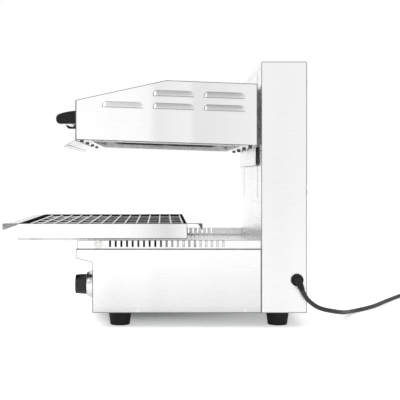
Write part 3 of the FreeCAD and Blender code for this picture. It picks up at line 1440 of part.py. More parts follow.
def smooth_arcs(points, headings):
    """Pairs of tangent arcs through the points, each pair leaving and arriving along the headings."""
    edges = []
    for start, stop, leave, arrive in zip(points, points[1:], headings, headings[1:]):
        gap = stop - start
        both = leave + arrive
        first = gap.dot(both)
        second = 2 * (1 - leave.dot(arrive))
        reach = gap.dot(gap) / (first + math.sqrt(first * first + second * gap.dot(gap)))
        joint = (start + stop + (leave - arrive) * reach) * 0.5
        edges.append(arc_from(start, leave, joint))
        edges.append(arc_from(joint, None, stop, arrive))
    return edges


def arc_from(start, leave, stop, arrive=None):
    """The arc between two points that leaves along a heading, or arrives along one."""
    if leave is None:
        return arc_edge(stop, arrive * -1, start, True)
    return arc_edge(start, leave, stop, False)


def arc_edge(start, heading, stop, backwards):
    """An arc that starts along a heading and ends at a point, as an edge."""
    chord = stop - start
    sideways = chord - heading * chord.dot(heading)
    if sideways.Length < chord.Length * TINY_SHARE:
        ends = (stop, start) if backwards else (start, stop)
        return Part.LineSegment(*ends).toShape()
    normal = sideways.normalize()
    radius = chord.dot(chord) / (2 * chord.dot(normal))
    centre = start + normal * radius
    middle = (start + stop) * 0.5 - centre
    middle = centre + middle.normalize() * radius
    ends = (stop, middle, start) if backwards else (start, middle, stop)
    return Part.Arc(*ends).toShape()


def make_coil():
    """The put-away length as a neat round coil, with a straight end that rises to the plug's axis."""
    coarse = coil_points(COIL_STEP_DEGREES)
    fine = coil_points(COIL_STEP_DEGREES / COIL_FINE_STEPS)
    headings = []
    for index in range(len(coarse)):
        place = index * COIL_FINE_STEPS
        before = fine[max(place - 1, 0)]
        after = fine[min(place + 1, len(fine) - 1)]
        headings.append((after - before).normalize())
    headings[0].z = 0
    headings[0].normalize()
    last = headings[-1]
    last.z = 0
    last.normalize()
    lead_in = coarse[0] - headings[0] * d.cord_thick.value
    edges = [Part.LineSegment(lead_in, coarse[0]).toShape()]
    edges += smooth_arcs(coarse, headings)
    end = coarse[-1] + last * d.coil_tail.value
    edges.append(Part.LineSegment(coarse[-1], end).toShape())
    path = Part.Wire(edges)
    coil = doc.addObject("Part::Feature", "mains_cord_coil")
    coil.Shape = tube_along(path, d.cord_thick.value / 2)
    report_coil(fine)
    print("coil length %.0f mm, volume ratio %.4f" % (path.Length, volume_ratio(coil.Shape, path)))
    keep(coil, "mains_cord_coil")
    return lead_in, headings[0], end, last


def report_coil(points):
    """Measure the coil's least gap to itself on the points of its centre line."""
    apart = COIL_FINE_STEPS * 180 // COIL_STEP_DEGREES
    least = min((points[first] - points[second]).Length
                for first in range(len(points)) for second in range(first + apart, len(points)))
    print("coil's least gap to itself %.2f mm" % (least - d.cord_thick.value))


def volume_ratio(shape, path):
    """A tube's volume over its section times its length."""
    return shape.Volume / (math.pi * (d.cord_thick.value / 2) ** 2 * path.Length)


def make_cord(coil_start, coil_heading):
    """The free stretch of the cord from the strain relief to the coil."""
    start, heading = relief_exit()
    approach = coil_start - coil_heading * CORD_APPROACH
    points = [start, start + heading * CORD_EXIT] + [FreeCAD.Vector(*place) for place in CORD_ROUTE]
    points += [approach, coil_start]
    radii = []
    for before, corner, after in zip(points, points[1:], points[2:]):
        turn = (corner - before).getAngle(after - corner)
        shorter = min((corner - before).Length, (after - corner).Length)
        radii.append(ARC_SHARE * shorter / math.tan(turn / 2))
    print("cord bend radii", " ".join("%.0f" % radius for radius in radii))
    path = rounded_path(points, radii)
    cord = doc.addObject("Part::Feature", "mains_cord")
    cord.Shape = tube_along(path, d.cord_thick.value / 2)
    print("cord length %.0f mm, volume ratio %.4f" % (path.Length, volume_ratio(cord.Shape, path)))
    return keep(cord, "mains_cord")


def make_plug(entry, heading):
    """A round two-pin plug with a strain relief, lying on the table at the end of the coil."""
    relief = Part.makeCone(d.plug_tip.value / 2, d.plug_neck.value / 2, d.plug_relief.value)
    shoulder_long = d.plug_long.value - d.plug_rim.value
    shoulder = Part.makeCone(d.plug_neck.value / 2, d.plug_wide.value / 2, shoulder_long)
    shoulder.translate(FreeCAD.Vector(0, 0, d.plug_relief.value))
    rim = Part.makeCylinder(d.plug_wide.value / 2, d.plug_rim.value)
    rim.translate(FreeCAD.Vector(0, 0, d.plug_relief.value + shoulder_long))
    body = relief.fuse([shoulder, rim]).removeSplitter()
    face = d.plug_relief.value + d.plug_long.value
    pins = []
    for side in (LEFT, RIGHT):
        pin = Part.makeCylinder(d.plug_pin.value / 2, d.plug_pin_sunk.value + d.plug_pin_long.value)
        pin.translate(FreeCAD.Vector(0, side * d.plug_pin_pitch.value / 2, face - d.plug_pin_sunk.value))
        pins.append(pin)
    body = body.cut(Part.Compound(pins))
    plug = doc.addObject("Part::Feature", "mains_plug")
    plug.Shape = Part.Compound([body] + pins)
    plug.Placement = FreeCAD.Placement(entry, FreeCAD.Rotation(FreeCAD.Vector(0, 0, 1), heading))
    return keep(plug, "mains_plug")


def build():
    """Make every sub-part."""
    for side in (LEFT, RIGHT):
        make_base_side(side)
        make_guide_rail(side)
        make_roller(side)
        make_runner(side)
        make_column_side(side)
        make_hood_side(side)
    make_deck()
    make_front_panel()
    make_bottom_plate()
    make_feet()
    make_foot_bolts()
    make_panel_screws()
    make_thermostat()
    make_spindle()
    make_knob()
    make_bezel()
    make_lamps()
    make_terminal_block()
    make_cross_bars()
    make_roller_pins()
    make_pan()
    make_grid()
    make_column_front()
    make_column_back()
    make_column_cap()
    make_guide_bars()
    make_shaft_bearings()
    make_lift_shaft()
    make_chain_wheels()
    make_chain_spans("lift_chain_front", chain_front_place, lug_low + d.lug_high, shaft_high)
    make_chain_spans("lift_chain_back", chain_back_place, weight_top, shaft_high)
    make_chain_turns()
    make_counterweight()
    make_hood_lead()
    make_lift_plate()
    make_lift_arms()
    make_crosshead()
    make_glide_pads()
    make_hood_top()
    make_hood_front()
    make_hood_back()
    make_visor()
    make_strip("hood_front_strip", d.panel, [FRONT_ROW])
    make_strip("hood_rear_strip", reflector_stop, BACK_ROWS)
    make_reflector()
    make_blanket()
    make_elements()
    make_hangers()
    make_handle()
    make_gland()
    coil_start, coil_heading, plug_entry, plug_heading = make_coil()
    make_cord(coil_start, coil_heading)
    make_plug(plug_entry, plug_heading)


def check_and_write():
    """Recompute, check every object and sub-part, and write one STEP file for each sub-part."""
    doc.recompute()
    for thing in doc.Objects:
        if "Invalid" in thing.State or "Error" in thing.State:
            raise RuntimeError("%s failed: %s" % (thing.Name, thing.State))
    os.makedirs("parts", exist_ok=True)
    for piece in nodes:
        if piece.Shape.isNull() or not piece.Shape.isValid() or not piece.Shape.Solids:
            raise RuntimeError("%s has no valid solid" % piece.Label)
        piece.Shape.exportStep("parts/%s.step" % piece.Label)
    print("%d sub-parts written" % len(nodes))


build()
check_and_write()
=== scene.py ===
"""Looks of a cheese melter: an electric grill whose heated hood rises and falls on a column.

Lengths are in millimetres in this file and become metres where a mesh or node is made. The camera, the
lamps and the floor are in metres. The right side faces +X, the front faces -Y, the table is at Z = 0.
"""
import math

import bmesh
import bpy
import numpy as np
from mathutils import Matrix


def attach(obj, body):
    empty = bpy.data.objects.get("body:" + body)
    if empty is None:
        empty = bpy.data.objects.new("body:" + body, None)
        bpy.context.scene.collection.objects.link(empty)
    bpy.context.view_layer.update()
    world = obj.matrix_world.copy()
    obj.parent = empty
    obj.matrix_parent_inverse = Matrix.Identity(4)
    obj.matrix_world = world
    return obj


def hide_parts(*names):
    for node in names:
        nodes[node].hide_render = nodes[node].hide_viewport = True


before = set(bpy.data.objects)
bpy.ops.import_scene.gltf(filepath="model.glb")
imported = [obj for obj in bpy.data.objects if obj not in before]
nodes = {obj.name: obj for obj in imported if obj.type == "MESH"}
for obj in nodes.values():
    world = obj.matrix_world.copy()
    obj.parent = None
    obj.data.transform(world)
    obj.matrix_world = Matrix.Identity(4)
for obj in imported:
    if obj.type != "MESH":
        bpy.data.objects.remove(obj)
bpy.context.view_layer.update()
scene = bpy.context.scene
MM = 0.001
RIGHT = 1
LEFT = -1
# Points closer than this are one point, and edges sharper than this stay crisp
MERGE = 0.0005
SHARP = math.radians(32)


def in_scene(name, data):
    """A new object in the scene, at the origin."""
    thing = bpy.data.objects.new(name, data)
    scene.collection.objects.link(thing)
    return thing


# Camera: level, square to the machine's right side, as far off as the photograph's perspective needs

view = bpy.data.cameras.new("view")
view.lens = 81.45
view.shift_x = 0.095
view.shift_y = -0.0625
camera = in_scene("view", view)
camera.location = (2.025, 0.0147, 0.3045)
camera.rotation_euler = (math.radians(90), 0, math.radians(90))
scene.camera = camera
scene.view_settings.view_transform = "Standard"


# Mains lead

CORD_THICK = 8.8
CORD_EXIT = (240.5, 291.33, 77.886)
CORD_ROUTE = (
    CORD_EXIT,
    (240.5, 297.0, 65.1),
    (239.8, 306, 54.3),
    (236, 326, 40),
    (219, 366, 31),
    (165, 391, 22),
    (104, 405, 13.5),
    (57, 421, 7),
    (26, 440, 4.75),
    (-2, 466, 4.75),
    (-49, 503, 4.75),
    (-139, 553, 4.75),
    (-229, 609, 4.75),
)
COIL_POINTS_PER_TURN = 24
COIL_CENTRE = (-262, 702)
COIL_START = 238
COIL_LEAD_IN = 40
HALF_TURN = 0.5
COIL_PITCH = 9.5
COIL_DIP = 0.4
COIL_TURNS_IN = 1.5
COIL_OUTER = 55.625
COIL_LOW = 4.75
COIL_TAIL = 56
PLUG_AXIS = 18


def coil_turns():
    """Centre points of the put-away coil.

    The angle falls by a whole turn for each turn. On the table the radius shrinks by one pitch a turn,
    then the line climbs one layer in half a turn on a cosine while it dips inwards on a sine, then the
    radius grows at the same rate and the last half turn rises to the plug's axis on a cosine.
    """
    whole = COIL_TURNS_IN * 2 + HALF_TURN
    turn = np.linspace(0, whole, int(whole * COIL_POINTS_PER_TURN) + 1)
    climb = np.clip((turn - COIL_TURNS_IN) / HALF_TURN, 0, 1)
    arrival = np.clip((turn - whole) / HALF_TURN + 1, 0, 1)
    radius = COIL_OUTER - COIL_PITCH * np.minimum(turn, COIL_TURNS_IN)
    radius = radius + COIL_PITCH * np.maximum(turn - COIL_TURNS_IN - HALF_TURN, 0)
    radius = radius - COIL_PITCH * COIL_DIP * np.sin(np.pi * climb)
    height = COIL_LOW + COIL_PITCH * (0.5 - 0.5 * np.cos(np.pi * climb))
    rise = PLUG_AXIS - COIL_LOW - COIL_PITCH
    height = height + rise * (0.5 - 0.5 * np.cos(np.pi * arrival))
    angle = np.radians(COIL_START - 360 * turn)
    across = COIL_CENTRE[0] + radius * np.cos(angle)
    back = COIL_CENTRE[1] + radius * np.sin(angle)
    return np.stack([across, back, height], 1)


def level_heading(step):
    """A step's direction on the table, one long."""
    flat = step * (1, 1, 0)
    return flat / np.linalg.norm(flat)


def make_cord():
    """The whole cord as one smooth spline through the given route and the coil's turns.

    The cord's radius sits in the points, because Blender's box of a curve grows by that number.
    """
    turns = coil_turns()
    arrive = level_heading(turns[1] - turns[0])
    leave = level_heading(turns[-1] - turns[-2])
    lead_in = turns[0] - arrive * CORD_THICK
    approach = lead_in - arrive * COIL_LEAD_IN
    tail = turns[-1] + leave * COIL_TAIL
    points = np.concatenate([np.array(CORD_ROUTE), [approach, lead_in], turns, [tail]])
    curve = bpy.data.curves.new("mains_lead", "CURVE")
    curve.dimensions = "3D"
    curve.bevel_depth = 1.0
    curve.bevel_resolution = 6
    curve.resolution_u = 8
    curve.use_fill_caps = True
    line = curve.splines.new("NURBS")
    line.points.add(len(points) - 1)
    placed = np.concatenate([points * MM, np.ones((len(points), 1))], 1)
    line.points.foreach_set("co", placed.ravel())
    line.points.foreach_set("radius", np.full(len(points), CORD_THICK / 2 * MM))
    line.order_u = 3
    line.use_endpoint_u = True
    return in_scene("mains_lead", curve)


cord = make_cord()
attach(cord, "stand")
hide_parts("mains_cord", "mains_cord_coil")


# Materials

def colour(code):
    """A hex sRGB colour as linear red, green, blue and alpha."""
    parts = np.array([int(code[place:place + 2], 16) for place in (1, 3, 5)]) / 255
    linear = np.where(parts <= 0.04045, parts / 12.92, ((parts + 0.055) / 1.055) ** 2.4)
    return (*linear, 1.0)


def add(tree, kind, inputs=None, **settings):
    """Add a node of a kind, set its properties, and fill or link its inputs."""
    node = tree.nodes.new("ShaderNode" + kind)
    for name, value in settings.items():
        setattr(node, name, value)
    for socket, value in (inputs or {}).items():
        if isinstance(value, bpy.types.NodeSocket):
            tree.links.new(value, node.inputs[socket])
        else:
            node.inputs[socket].default_value = value
    return node


def finish_of(name, **sockets):
    """A material with one Principled shader, and the numbers that are the same all over it."""
    material = bpy.data.materials.new(name)
    material.use_nodes = True
    shader = material.node_tree.nodes["Principled BSDF"]
    for socket, value in sockets.items():
        shader.inputs[socket.replace("_", " ")].default_value = value
    return material, material.node_tree, shader


# Sizes of the brushed grain, of the painted reflection bands across it and of rub marks
GRAIN_LONG = 140
GRAIN_PITCH = 1.6
BAND_WIDE = 70
BAND_HIGH = 1400
RUB_SIZE = 25


def grain(tree, size, detail=2.0, rough=0.5):
    """Noise whose lumps have the given size in millimetres along X, Y and Z."""
    place = add(tree, "TexCoord").outputs["Object"]
    scale = tuple(1 / (length * MM) for length in size)
    stretched = add(tree, "Mapping", {"Vector": place, "Scale": scale}).outputs["Vector"]
    noise = add(tree, "TexNoise", {"Vector": stretched, "Scale": 1.0, "Detail": detail,
                                   "Roughness": rough})
    return noise.outputs["Fac"]


def between(tree, factor, first, second):
    """A colour between two hex colours."""
    return add(tree, "Mix", {0: factor, 6: colour(first), 7: colour(second)}, data_type="RGBA").outputs[2]


def spread(tree, value, low, high, start=0.3, stop=0.7):
    """A noise value carried from its usual reach to another range."""
    return add(tree, "MapRange", {"Value": value, "From Min": start, "From Max": stop, "To Min": low,
                                  "To Max": high}).outputs["Result"]


def raise_surface(tree, shader, height, distance, strength=0.3):
    """Bump of a distance in millimetres on a shader."""
    bump = add(tree, "Bump", {"Height": height, "Distance": distance * MM, "Strength": strength})
    tree.links.new(bump.outputs["Normal"], shader.inputs["Normal"])


def rolled_steel(name, light, dark, usual, wander, smooth, dull, stretches=(), shade_attribute=None):
    """Stainless sheet with a horizontal brushed grain: satin, nearly white, in soft upright bands of painted
    reflection.

    The real grain is about 0.1 mm apart. It is drawn 1.6 mm apart so that a trace of it shows. The usual
    place between dark and light wanders a little, and each stretch, from one place to another along an
    axis, moves it by an amount as painted shade or painted reflection. A shade attribute on the mesh
    darkens it too, as painted shade.
    """
    material, tree, shader = finish_of(name, Metallic=1.0)
    upright = grain(tree, (GRAIN_LONG, GRAIN_LONG, GRAIN_PITCH))
    level = grain(tree, (GRAIN_LONG, GRAIN_PITCH, GRAIN_LONG))
    normal = add(tree, "SeparateXYZ", {"Vector": add(tree, "NewGeometry").outputs["Normal"]})
    facing_up = add(tree, "Math", {0: normal.outputs["Z"]}, operation="ABSOLUTE").outputs[0]
    brushed = add(tree, "Mix", {0: facing_up, 2: upright, 3: level}).outputs[0]
    # Soft upright bands of tone: painted reflection of the room
    bands = grain(tree, (BAND_WIDE, BAND_WIDE, BAND_HIGH), detail=1.0)
    tone = add(tree, "Mix", {0: 0.12, 2: bands, 3: brushed}).outputs[0]
    tone = spread(tree, tone, usual - wander, usual + wander, 0.35, 0.65)
    place = add(tree, "SeparateXYZ", {"Vector": add(tree, "TexCoord").outputs["Object"]})
    # Each stretch along an axis adds painted shade or painted reflection
    for axis, start, stop, amount in stretches:
        change = spread(tree, place.outputs[axis], 0, amount, start * MM, stop * MM)
        tone = add(tree, "Math", {0: tone, 1: change}, operation="ADD").outputs[0]
    # The mesh attribute, where given, darkens the tone with painted shade
    if shade_attribute is not None:
        line = add(tree, "Attribute", attribute_name=shade_attribute).outputs["Fac"]
        tone = add(tree, "Math", {0: tone, 1: line}, operation="SUBTRACT").outputs[0]
    tone = add(tree, "Clamp", {"Value": tone}).outputs[0]
    tree.links.new(between(tree, tone, dark, light), shader.inputs["Base Color"])
    tree.links.new(spread(tree, brushed, smooth, dull), shader.inputs["Roughness"])
    raise_surface(tree, shader, brushed, 0.02, 0.1)
    return material


def stamped_metal(name, light, dark, smooth, dull, lump, metallic=1.0, rise=0.03):
    """Plain metal with a mottled surface: zinc spangle, rolled aluminium or heat marks."""
    material, tree, shader = finish_of(name, Metallic=metallic)
    mottle = grain(tree, (lump, lump, lump), detail=3.0)
    tree.links.new(between(tree, spread(tree, mottle, 0, 1), dark, light), shader.inputs["Base Color"])
    tree.links.new(spread(tree, mottle, smooth, dull), shader.inputs["Roughness"])
    raise_surface(tree, shader, mottle, rise)
    return material


def moulded(name, light, dark, smooth, dull, lump, ior=1.5, specular=0.5, rise=0.05):
    """Moulded plastic or rubber: an even colour, fine spark-eroded grain and faint rub marks."""
    material, tree, shader = finish_of(name, Metallic=0.0, IOR=ior, Specular_IOR_Level=specular)
    pimples = grain(tree, (lump, lump, lump), detail=2.0)
    rubs = grain(tree, (RUB_SIZE, RUB_SIZE, RUB_SIZE), detail=3.0)
    tree.links.new(between(tree, spread(tree, rubs, 0, 1), dark, light), shader.inputs["Base Color"])
    tree.links.new(spread(tree, rubs, smooth, dull), shader.inputs["Roughness"])
    raise_surface(tree, shader, pimples, rise)
    return material


# Brushed stainless steel: bright satin sheet, nearly white in pale surroundings
steel = rolled_steel("brushed_stainless", "#ffffff", "#c8c8c8", 0.9, 0.06, 0.24, 0.34)
# The same on the hood's sides, with painted reflection in darker and lighter stretches that begin at soft
# upright edges, and painted shade round the louvres from a mesh attribute
hood_steel = rolled_steel("brushed_hood_stainless", "#ffffff", "#8c8c8c", 0.93, 0.02, 0.24, 0.34,
                          (("Y", -60, -20, -0.04), ("Y", -14, 4, -0.14), ("Y", 4, 70, 0.06),
                           ("Y", 70, 80, -0.1), ("Y", 80, 205, 0.13)), "louvre_shade")
# The same on the base's sides, greyer towards the table: painted reflection of the table's shade
base_steel = rolled_steel("brushed_base_stainless", "#ffffff", "#bdbdbd", 0.93, 0.04, 0.24, 0.34,
                          (("Z", 150, 40, -0.36), ("Z", 44, 32, -0.16)))
# The same on the tray's sides, with painted reflection: a soft darker place towards the back, lighter again
# behind it
tray_steel = rolled_steel("brushed_tray_stainless", "#ffffff", "#bdbdbd", 0.8, 0.05, 0.24, 0.34,
                          (("Y", -60, 20, -0.38), ("Y", 30, 64, 0.3)))
# The same on the column's sides, a little duller
column_steel = rolled_steel("brushed_column_stainless", "#ffffff", "#c8c8c8", 0.76, 0.05, 0.24, 0.34)
# Runners where they slide behind the rails: painted shade, nearly black, clean in front and behind
runner_shade_steel = rolled_steel("runner_painted_shade_stainless", "#ffffff", "#0e0e0e", 0.92, 0.04, 0.3, 0.4,
                             (("Y", -140, -126, -0.92), ("Y", 4, 60, 0.92)))
# Painted shade: a grey line along the sheet's edges and a narrow border round its broad faces
edge_shade = stamped_metal("steel_edge_painted_shade", "#7c7c7c", "#6a6a6a", 0.35, 0.45, 8)
# A paler painted shade line along thin folded hems and inner edges
pale_edge_shade = stamped_metal("hem_painted_shade", "#bcbcbc", "#adadad", 0.35, 0.45, 8)
# Lower edge of the tray's sides: a painted shade line, bright in front of the rails, with painted shade
# above them
tray_edge_shade = rolled_steel("tray_edge_painted_shade", "#d6d6d6", "#575757", 0.95, 0.04, 0.3, 0.4,
                         (("Y", -165, -150, -0.85),))
# Painted shade of the louvres' mouths: a grey line along each lip
louvre_mouth_shade = stamped_metal("louvre_mouth_painted_shade", "#b6b6b6", "#a8a8a8", 0.4, 0.5, 8)
# Drawn collars of the vent holes, dark grey on their walls: painted shade
collar_shade = stamped_metal("collar_painted_shade", "#6a6968", "#504f4e", 0.4, 0.5, 4)
# Inner faces of the sheet keep their mill finish: greyer and duller than the brushed outside
mill_steel = stamped_metal("mill_finish_steel", "#a9a9a7", "#949492", 0.35, 0.5, 20)
# Deck and rails under the tray: bright zinc-coated sheet
pale_zinc = stamped_metal("pale_zinc_sheet", "#ffffff", "#f6f6f6", 0.22, 0.3, 25, metallic=0.85, rise=0.005)
# Zinc-plated bars and brackets: cool, slightly mottled
zinc = stamped_metal("zinc_plate", "#c3c6c8", "#a2a6a8", 0.3, 0.45, 6)
# Bright nickel-chrome of the spun bezel
chrome = stamped_metal("bright_chrome", "#f2f2f2", "#e4e4e4", 0.14, 0.22, 10, rise=0.005)
# Wire of the grid: bright on top, the stays below it darker, most of all underneath: painted shade
shaded_wire = rolled_steel("drawn_wire_painted_shade", "#ffffff", "#2c2b2a", 0.96, 0.02, 0.3, 0.4,
                    (("Z", 203.5, 202.9, -0.22), ("Z", 202.0, 200.8, -0.62)))
# Bright aluminised steel of the reflector, with faint waves of heat
aluminised = stamped_metal("aluminised_sheet", "#ffffff", "#f6f6f5", 0.22, 0.3, 30, metallic=0.85,
                           rise=0.01)
# Element tube: nickel alloy darkened by heat
heated_tube = stamped_metal("heat_darkened_tube", "#55524f", "#33312f", 0.42, 0.6, 12, metallic=0.8)
# Inside of the drip pan and faces under it: matt and nearly black, painted shade
pan_shade = moulded("pan_painted_shade", "#303031", "#222223", 0.75, 0.9, 16, specular=0.08)
# Inner faces of the tray's front and rear lips: greyer, painted shade
lip_shade = stamped_metal("lip_painted_shade", "#d2d2d1", "#c0c0bf", 0.4, 0.5, 16, metallic=0.6)
# Rear flange of the tray: steel rubbed bright
rubbed_steel = stamped_metal("rubbed_flange_steel", "#ffffff", "#fafafa", 0.12, 0.18, 16, rise=0.005)
# Black glass-filled nylon of the handle: fine grain, soft highlight
handle_black = moulded("black_nylon", "#111111", "#0c0c0c", 0.36, 0.48, 0.9, specular=0.25)
# Satin stainless tube of the grip
grip_steel = stamped_metal("satin_grip_tube", "#f6f6f5", "#e8e8e7", 0.22, 0.3, 12, rise=0.005)
# Black phenolic knob: satin
knob_black = moulded("black_phenolic", "#1c1c1c", "#141414", 0.3, 0.42, 0.8, specular=0.4)
# Black rubber: matt, a little dusty
rubber = moulded("black_rubber", "#232323", "#191919", 0.6, 0.8, 1.2, ior=1.52, specular=0.3)
# Rubber sheath of the lead: dark grey, dull sheen
sheath = moulded("rubber_sheath", "#3a3b3d", "#303133", 0.5, 0.62, 1.0, specular=0.35, rise=0.03)
# White nylon rollers and glides
nylon = moulded("white_nylon", "#f4f4f1", "#e6e6e2", 0.4, 0.55, 1.5, ior=1.53)
# Cream melamine terminal block
melamine = moulded("cream_melamine", "#dcd8c8", "#ccc7b5", 0.35, 0.5, 2.0)
# Grey paint on the counterweight slab
slab_paint = moulded("grey_slab_paint", "#6c6e70", "#595b5d", 0.45, 0.6, 3.0, rise=0.08)
# Red lens of the pilot lamps
lens_red = moulded("red_lens", "#b3251b", "#a01d14", 0.12, 0.2, 4.0, ior=1.49, rise=0.01)
# Bright screws, pins and hangers
screw_steel = stamped_metal("bright_screw", "#f0f0f0", "#e0e0e0", 0.18, 0.3, 2)


def make_wool():
    """Mineral wool felt: cream fibres, matt, with a soft sheen."""
    material, tree, shader = finish_of("mineral_wool", Metallic=0.0, Roughness=0.95, Sheen_Weight=0.25)
    fibres = grain(tree, (14, 2, 2), detail=4.0, rough=0.7)
    tree.links.new(between(tree, fibres, "#b9b29c", "#e4dfcf"), shader.inputs["Base Color"])
    raise_surface(tree, shader, fibres, 0.8, 0.6)
    return material


wool = make_wool()
cord.data.materials.append(sheath)


# Pieces from surfaces

def mesh_piece(name, points, faces, body, slot, finish, node):
    """A piece from points in millimetres and faces, on a body, standing for a CAD node."""
    mesh = bpy.data.meshes.new(name)
    mesh.from_pydata((np.asarray(points) * MM).tolist(), [], np.asarray(faces).tolist())
    mesh.materials.append(finish)
    form = bmesh.new()
    form.from_mesh(mesh)
    bmesh.ops.remove_doubles(form, verts=form.verts, dist=MERGE * MM)
    bmesh.ops.dissolve_degenerate(form, edges=form.edges, dist=MERGE * MM)
    bmesh.ops.recalc_face_normals(form, faces=form.faces)
    form.to_mesh(mesh)
    form.free()
    mesh.polygons.foreach_set("use_smooth", [True] * len(mesh.polygons))
    mesh.set_sharp_from_angle(angle=SHARP)
    piece = in_scene(name, mesh)
    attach(piece, body)
    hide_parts(node)


def quads(rows, columns, close_columns=False):
    """Corner numbers of the quads of a grid of points, row after row."""
    row = np.arange(rows - 1)
    column = np.arange(columns if close_columns else columns - 1)
    first = row[:, None] * columns + column[None, :]
    across = row[:, None] * columns + ((column + 1) % columns)[None, :]
    up = (row + 1)[:, None] * columns
    over = up + ((column + 1) % columns)[None, :]
    back = up + column[None, :]
    return np.stack([first, across, over, back], 2).reshape(-1, 4)


def joined(*surfaces):
    """Several sets of points and faces as one."""
    points = []
    faces = []
    start = 0
    for some_points, some_faces in surfaces:
        points.append(np.asarray(some_points).reshape(-1, 3))
        faces.append(np.asarray(some_faces) + start)
        start += len(points[-1])
    return np.concatenate(points), np.concatenate(faces)


def turned(profile, centre, axis, segments=96, flutes=None):
    """A surface of revolution: radius and distance along an axis, carried round it.

    Where flutes is given, it turns the angle and the profile's place into a change of radius.
    """
    profile = np.array(profile, float)
    angle = np.linspace(0, 2 * np.pi, segments, endpoint=False)
    radius = np.repeat(profile[:, 0][:, None], segments, 1)
    if flutes is not None:
        radius = radius + flutes(angle[None, :], profile[:, 1][:, None])
    along = np.repeat(profile[:, 1][:, None], segments, 1)
    ways = {"X": (1, 2, 0), "Y": (2, 0, 1), "Z": (0, 1, 2)}[axis]
    points = np.zeros((len(profile), segments, 3))
    points[:, :, ways[0]] = radius * np.cos(angle)
    points[:, :, ways[1]] = radius * np.sin(angle)
    points[:, :, ways[2]] = along
    points = points + np.array(centre, float)
    return points.reshape(-1, 3), quads(len(profile), segments, close_columns=True)


def bent(start, corner, stop, share):
    """A parabola from start to stop, drawn towards a corner: the blend of both ends and twice the corner."""
    return start * (1 - share) ** 2 + corner * 2 * share * (1 - share) + stop * share ** 2


def rounded_profile(corners, radius, steps=6):
    """A profile of radius and distance whose inner corners are rounded by a parabola."""
    corners = np.array(corners, float)
    line = [corners[0]]
    share = np.linspace(0, 1, steps)[:, None]
    for before, corner, after in zip(corners, corners[1:], corners[2:]):
        start = corner + (before - corner) * min(0.5, radius / np.linalg.norm(before - corner))
        stop = corner + (after - corner) * min(0.5, radius / np.linalg.norm(after - corner))
        line.extend(bent(start, corner, stop, share))
    line.append(corners[-1])
    return np.array(line)


# Least area and width of a plane that is shaded flat, and of one that takes a border of painted shade
FLAT_AREA = 40
FLAT_WIDTH = 1
BORDER_AREA = 300
BORDER_WIDTH = 5


def flat_groups(form, least_area, least_width):
    """Sets of touching faces in one plane that have at least an area and a width."""
    seen = set()
    groups = []
    for face in form.faces:
        if face in seen:
            continue
        group = [face]
        seen.add(face)
        for member in group:
            for edge in member.edges:
                for other in edge.link_faces:
                    if other not in seen and other.normal.dot(face.normal) > 0.99999:
                        seen.add(other)
                        group.append(other)
        inside = set(group)
        area = sum(member.calc_area() for member in group)
        rim = sum(edge.calc_length() for member in group for edge in member.edges
                  if not all(other in inside for other in edge.link_faces))
        if area > least_area * MM * MM and area > rim * least_width * MM / 2:
            groups.append(group)
    return groups


def dressed(node, body, finishes, border=1.0, bevel=0.35, places=()):
    """A CAD node's form with softened edges, and a narrow border of painted shade round its broad faces.

    Each of the places is a test of a face's middle and normal, with the finish of the faces it takes.
    """
    form = bmesh.new()
    form.from_mesh(nodes[node].data)
    bmesh.ops.remove_doubles(form, verts=form.verts, dist=MERGE * MM)
    for face in form.faces:
        face.smooth = True
        for number, (inside, finish) in enumerate(places):
            if inside(face.calc_center_median() / MM, face.normal):
                face.material_index = 2 + number
    for group in flat_groups(form, FLAT_AREA, FLAT_WIDTH):
        for face in group:
            face.smooth = False
    if border:
        for group in flat_groups(form, BORDER_AREA, BORDER_WIDTH):
            own = max(face.material_index for face in group)
            rim = bmesh.ops.inset_region(form, faces=group, thickness=border * MM, use_boundary=True,
                                         use_even_offset=True)["faces"]
            for face in rim:
                face.smooth = False
                face.material_index = own or 1
    mesh = bpy.data.meshes.new(node + "_sheet")
    form.to_mesh(mesh)
    form.free()
    if "custom_normal" in mesh.attributes:
        mesh.attributes.remove(mesh.attributes["custom_normal"])
    for finish in (*finishes, *(finish for inside, finish in places)):
        mesh.materials.append(finish)
    mesh.set_sharp_from_angle(angle=SHARP)
    piece = in_scene(node + "_sheet", mesh)
    soft = piece.modifiers.new("soft edge", "BEVEL")
    soft.width = bevel * MM
    soft.segments = 2
    soft.limit_method = "ANGLE"
    soft.angle_limit = SHARP
    if len(finishes) > 1:
        soft.material = 1
    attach(piece, body)
    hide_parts(node)
    return piece


# Places on the hood, the tray, the rails and the runners that the tests below go by
HOOD_FRONT = -158.0
HOOD_LONG = 362.6
HOOD_LOW = 375.2
HOOD_SLOPE = 12.0 / HOOD_LONG
HOOD_HALF = 221.0
PAN_LEDGE = 190
PAN_INNER_HALF = 213.2
PAN_INNER_FRONT = -273.5
PAN_INNER_BACK = 64.6
LIP_FRONT = -303
LIP_BACK = 94
FLANGE_FRONT = 65
FLANGE_MIDDLE = 80
RAIL_FACE = 217.9
RUNNER_FACE = 217
COLLAR_START = 0.3


def in_pan(centre, normal):
    """Whether a face of the pan looks into its trough, down to the deck or under its flanges."""
    if normal.z < -0.5 or normal.z > 0.5 and centre.z < PAN_LEDGE:
        return True
    between_ends = PAN_INNER_FRONT < centre.y < PAN_INNER_BACK
    return abs(normal.z) < 0.5 and abs(centre.x) < PAN_INNER_HALF and between_ends


def in_lip(centre, normal):
    """Whether a face looks back under the tray's front or rear lip."""
    return centre.y < LIP_FRONT and normal.y > 0.5 or centre.y > LIP_BACK and normal.y < -0.5


def on_rear_flange(centre, normal):
    """Whether a face is on top of the tray's rear flange or at its back."""
    return centre.y > FLANGE_FRONT and normal.z > 0.5 or centre.y > FLANGE_MIDDLE and normal.y > 0.5


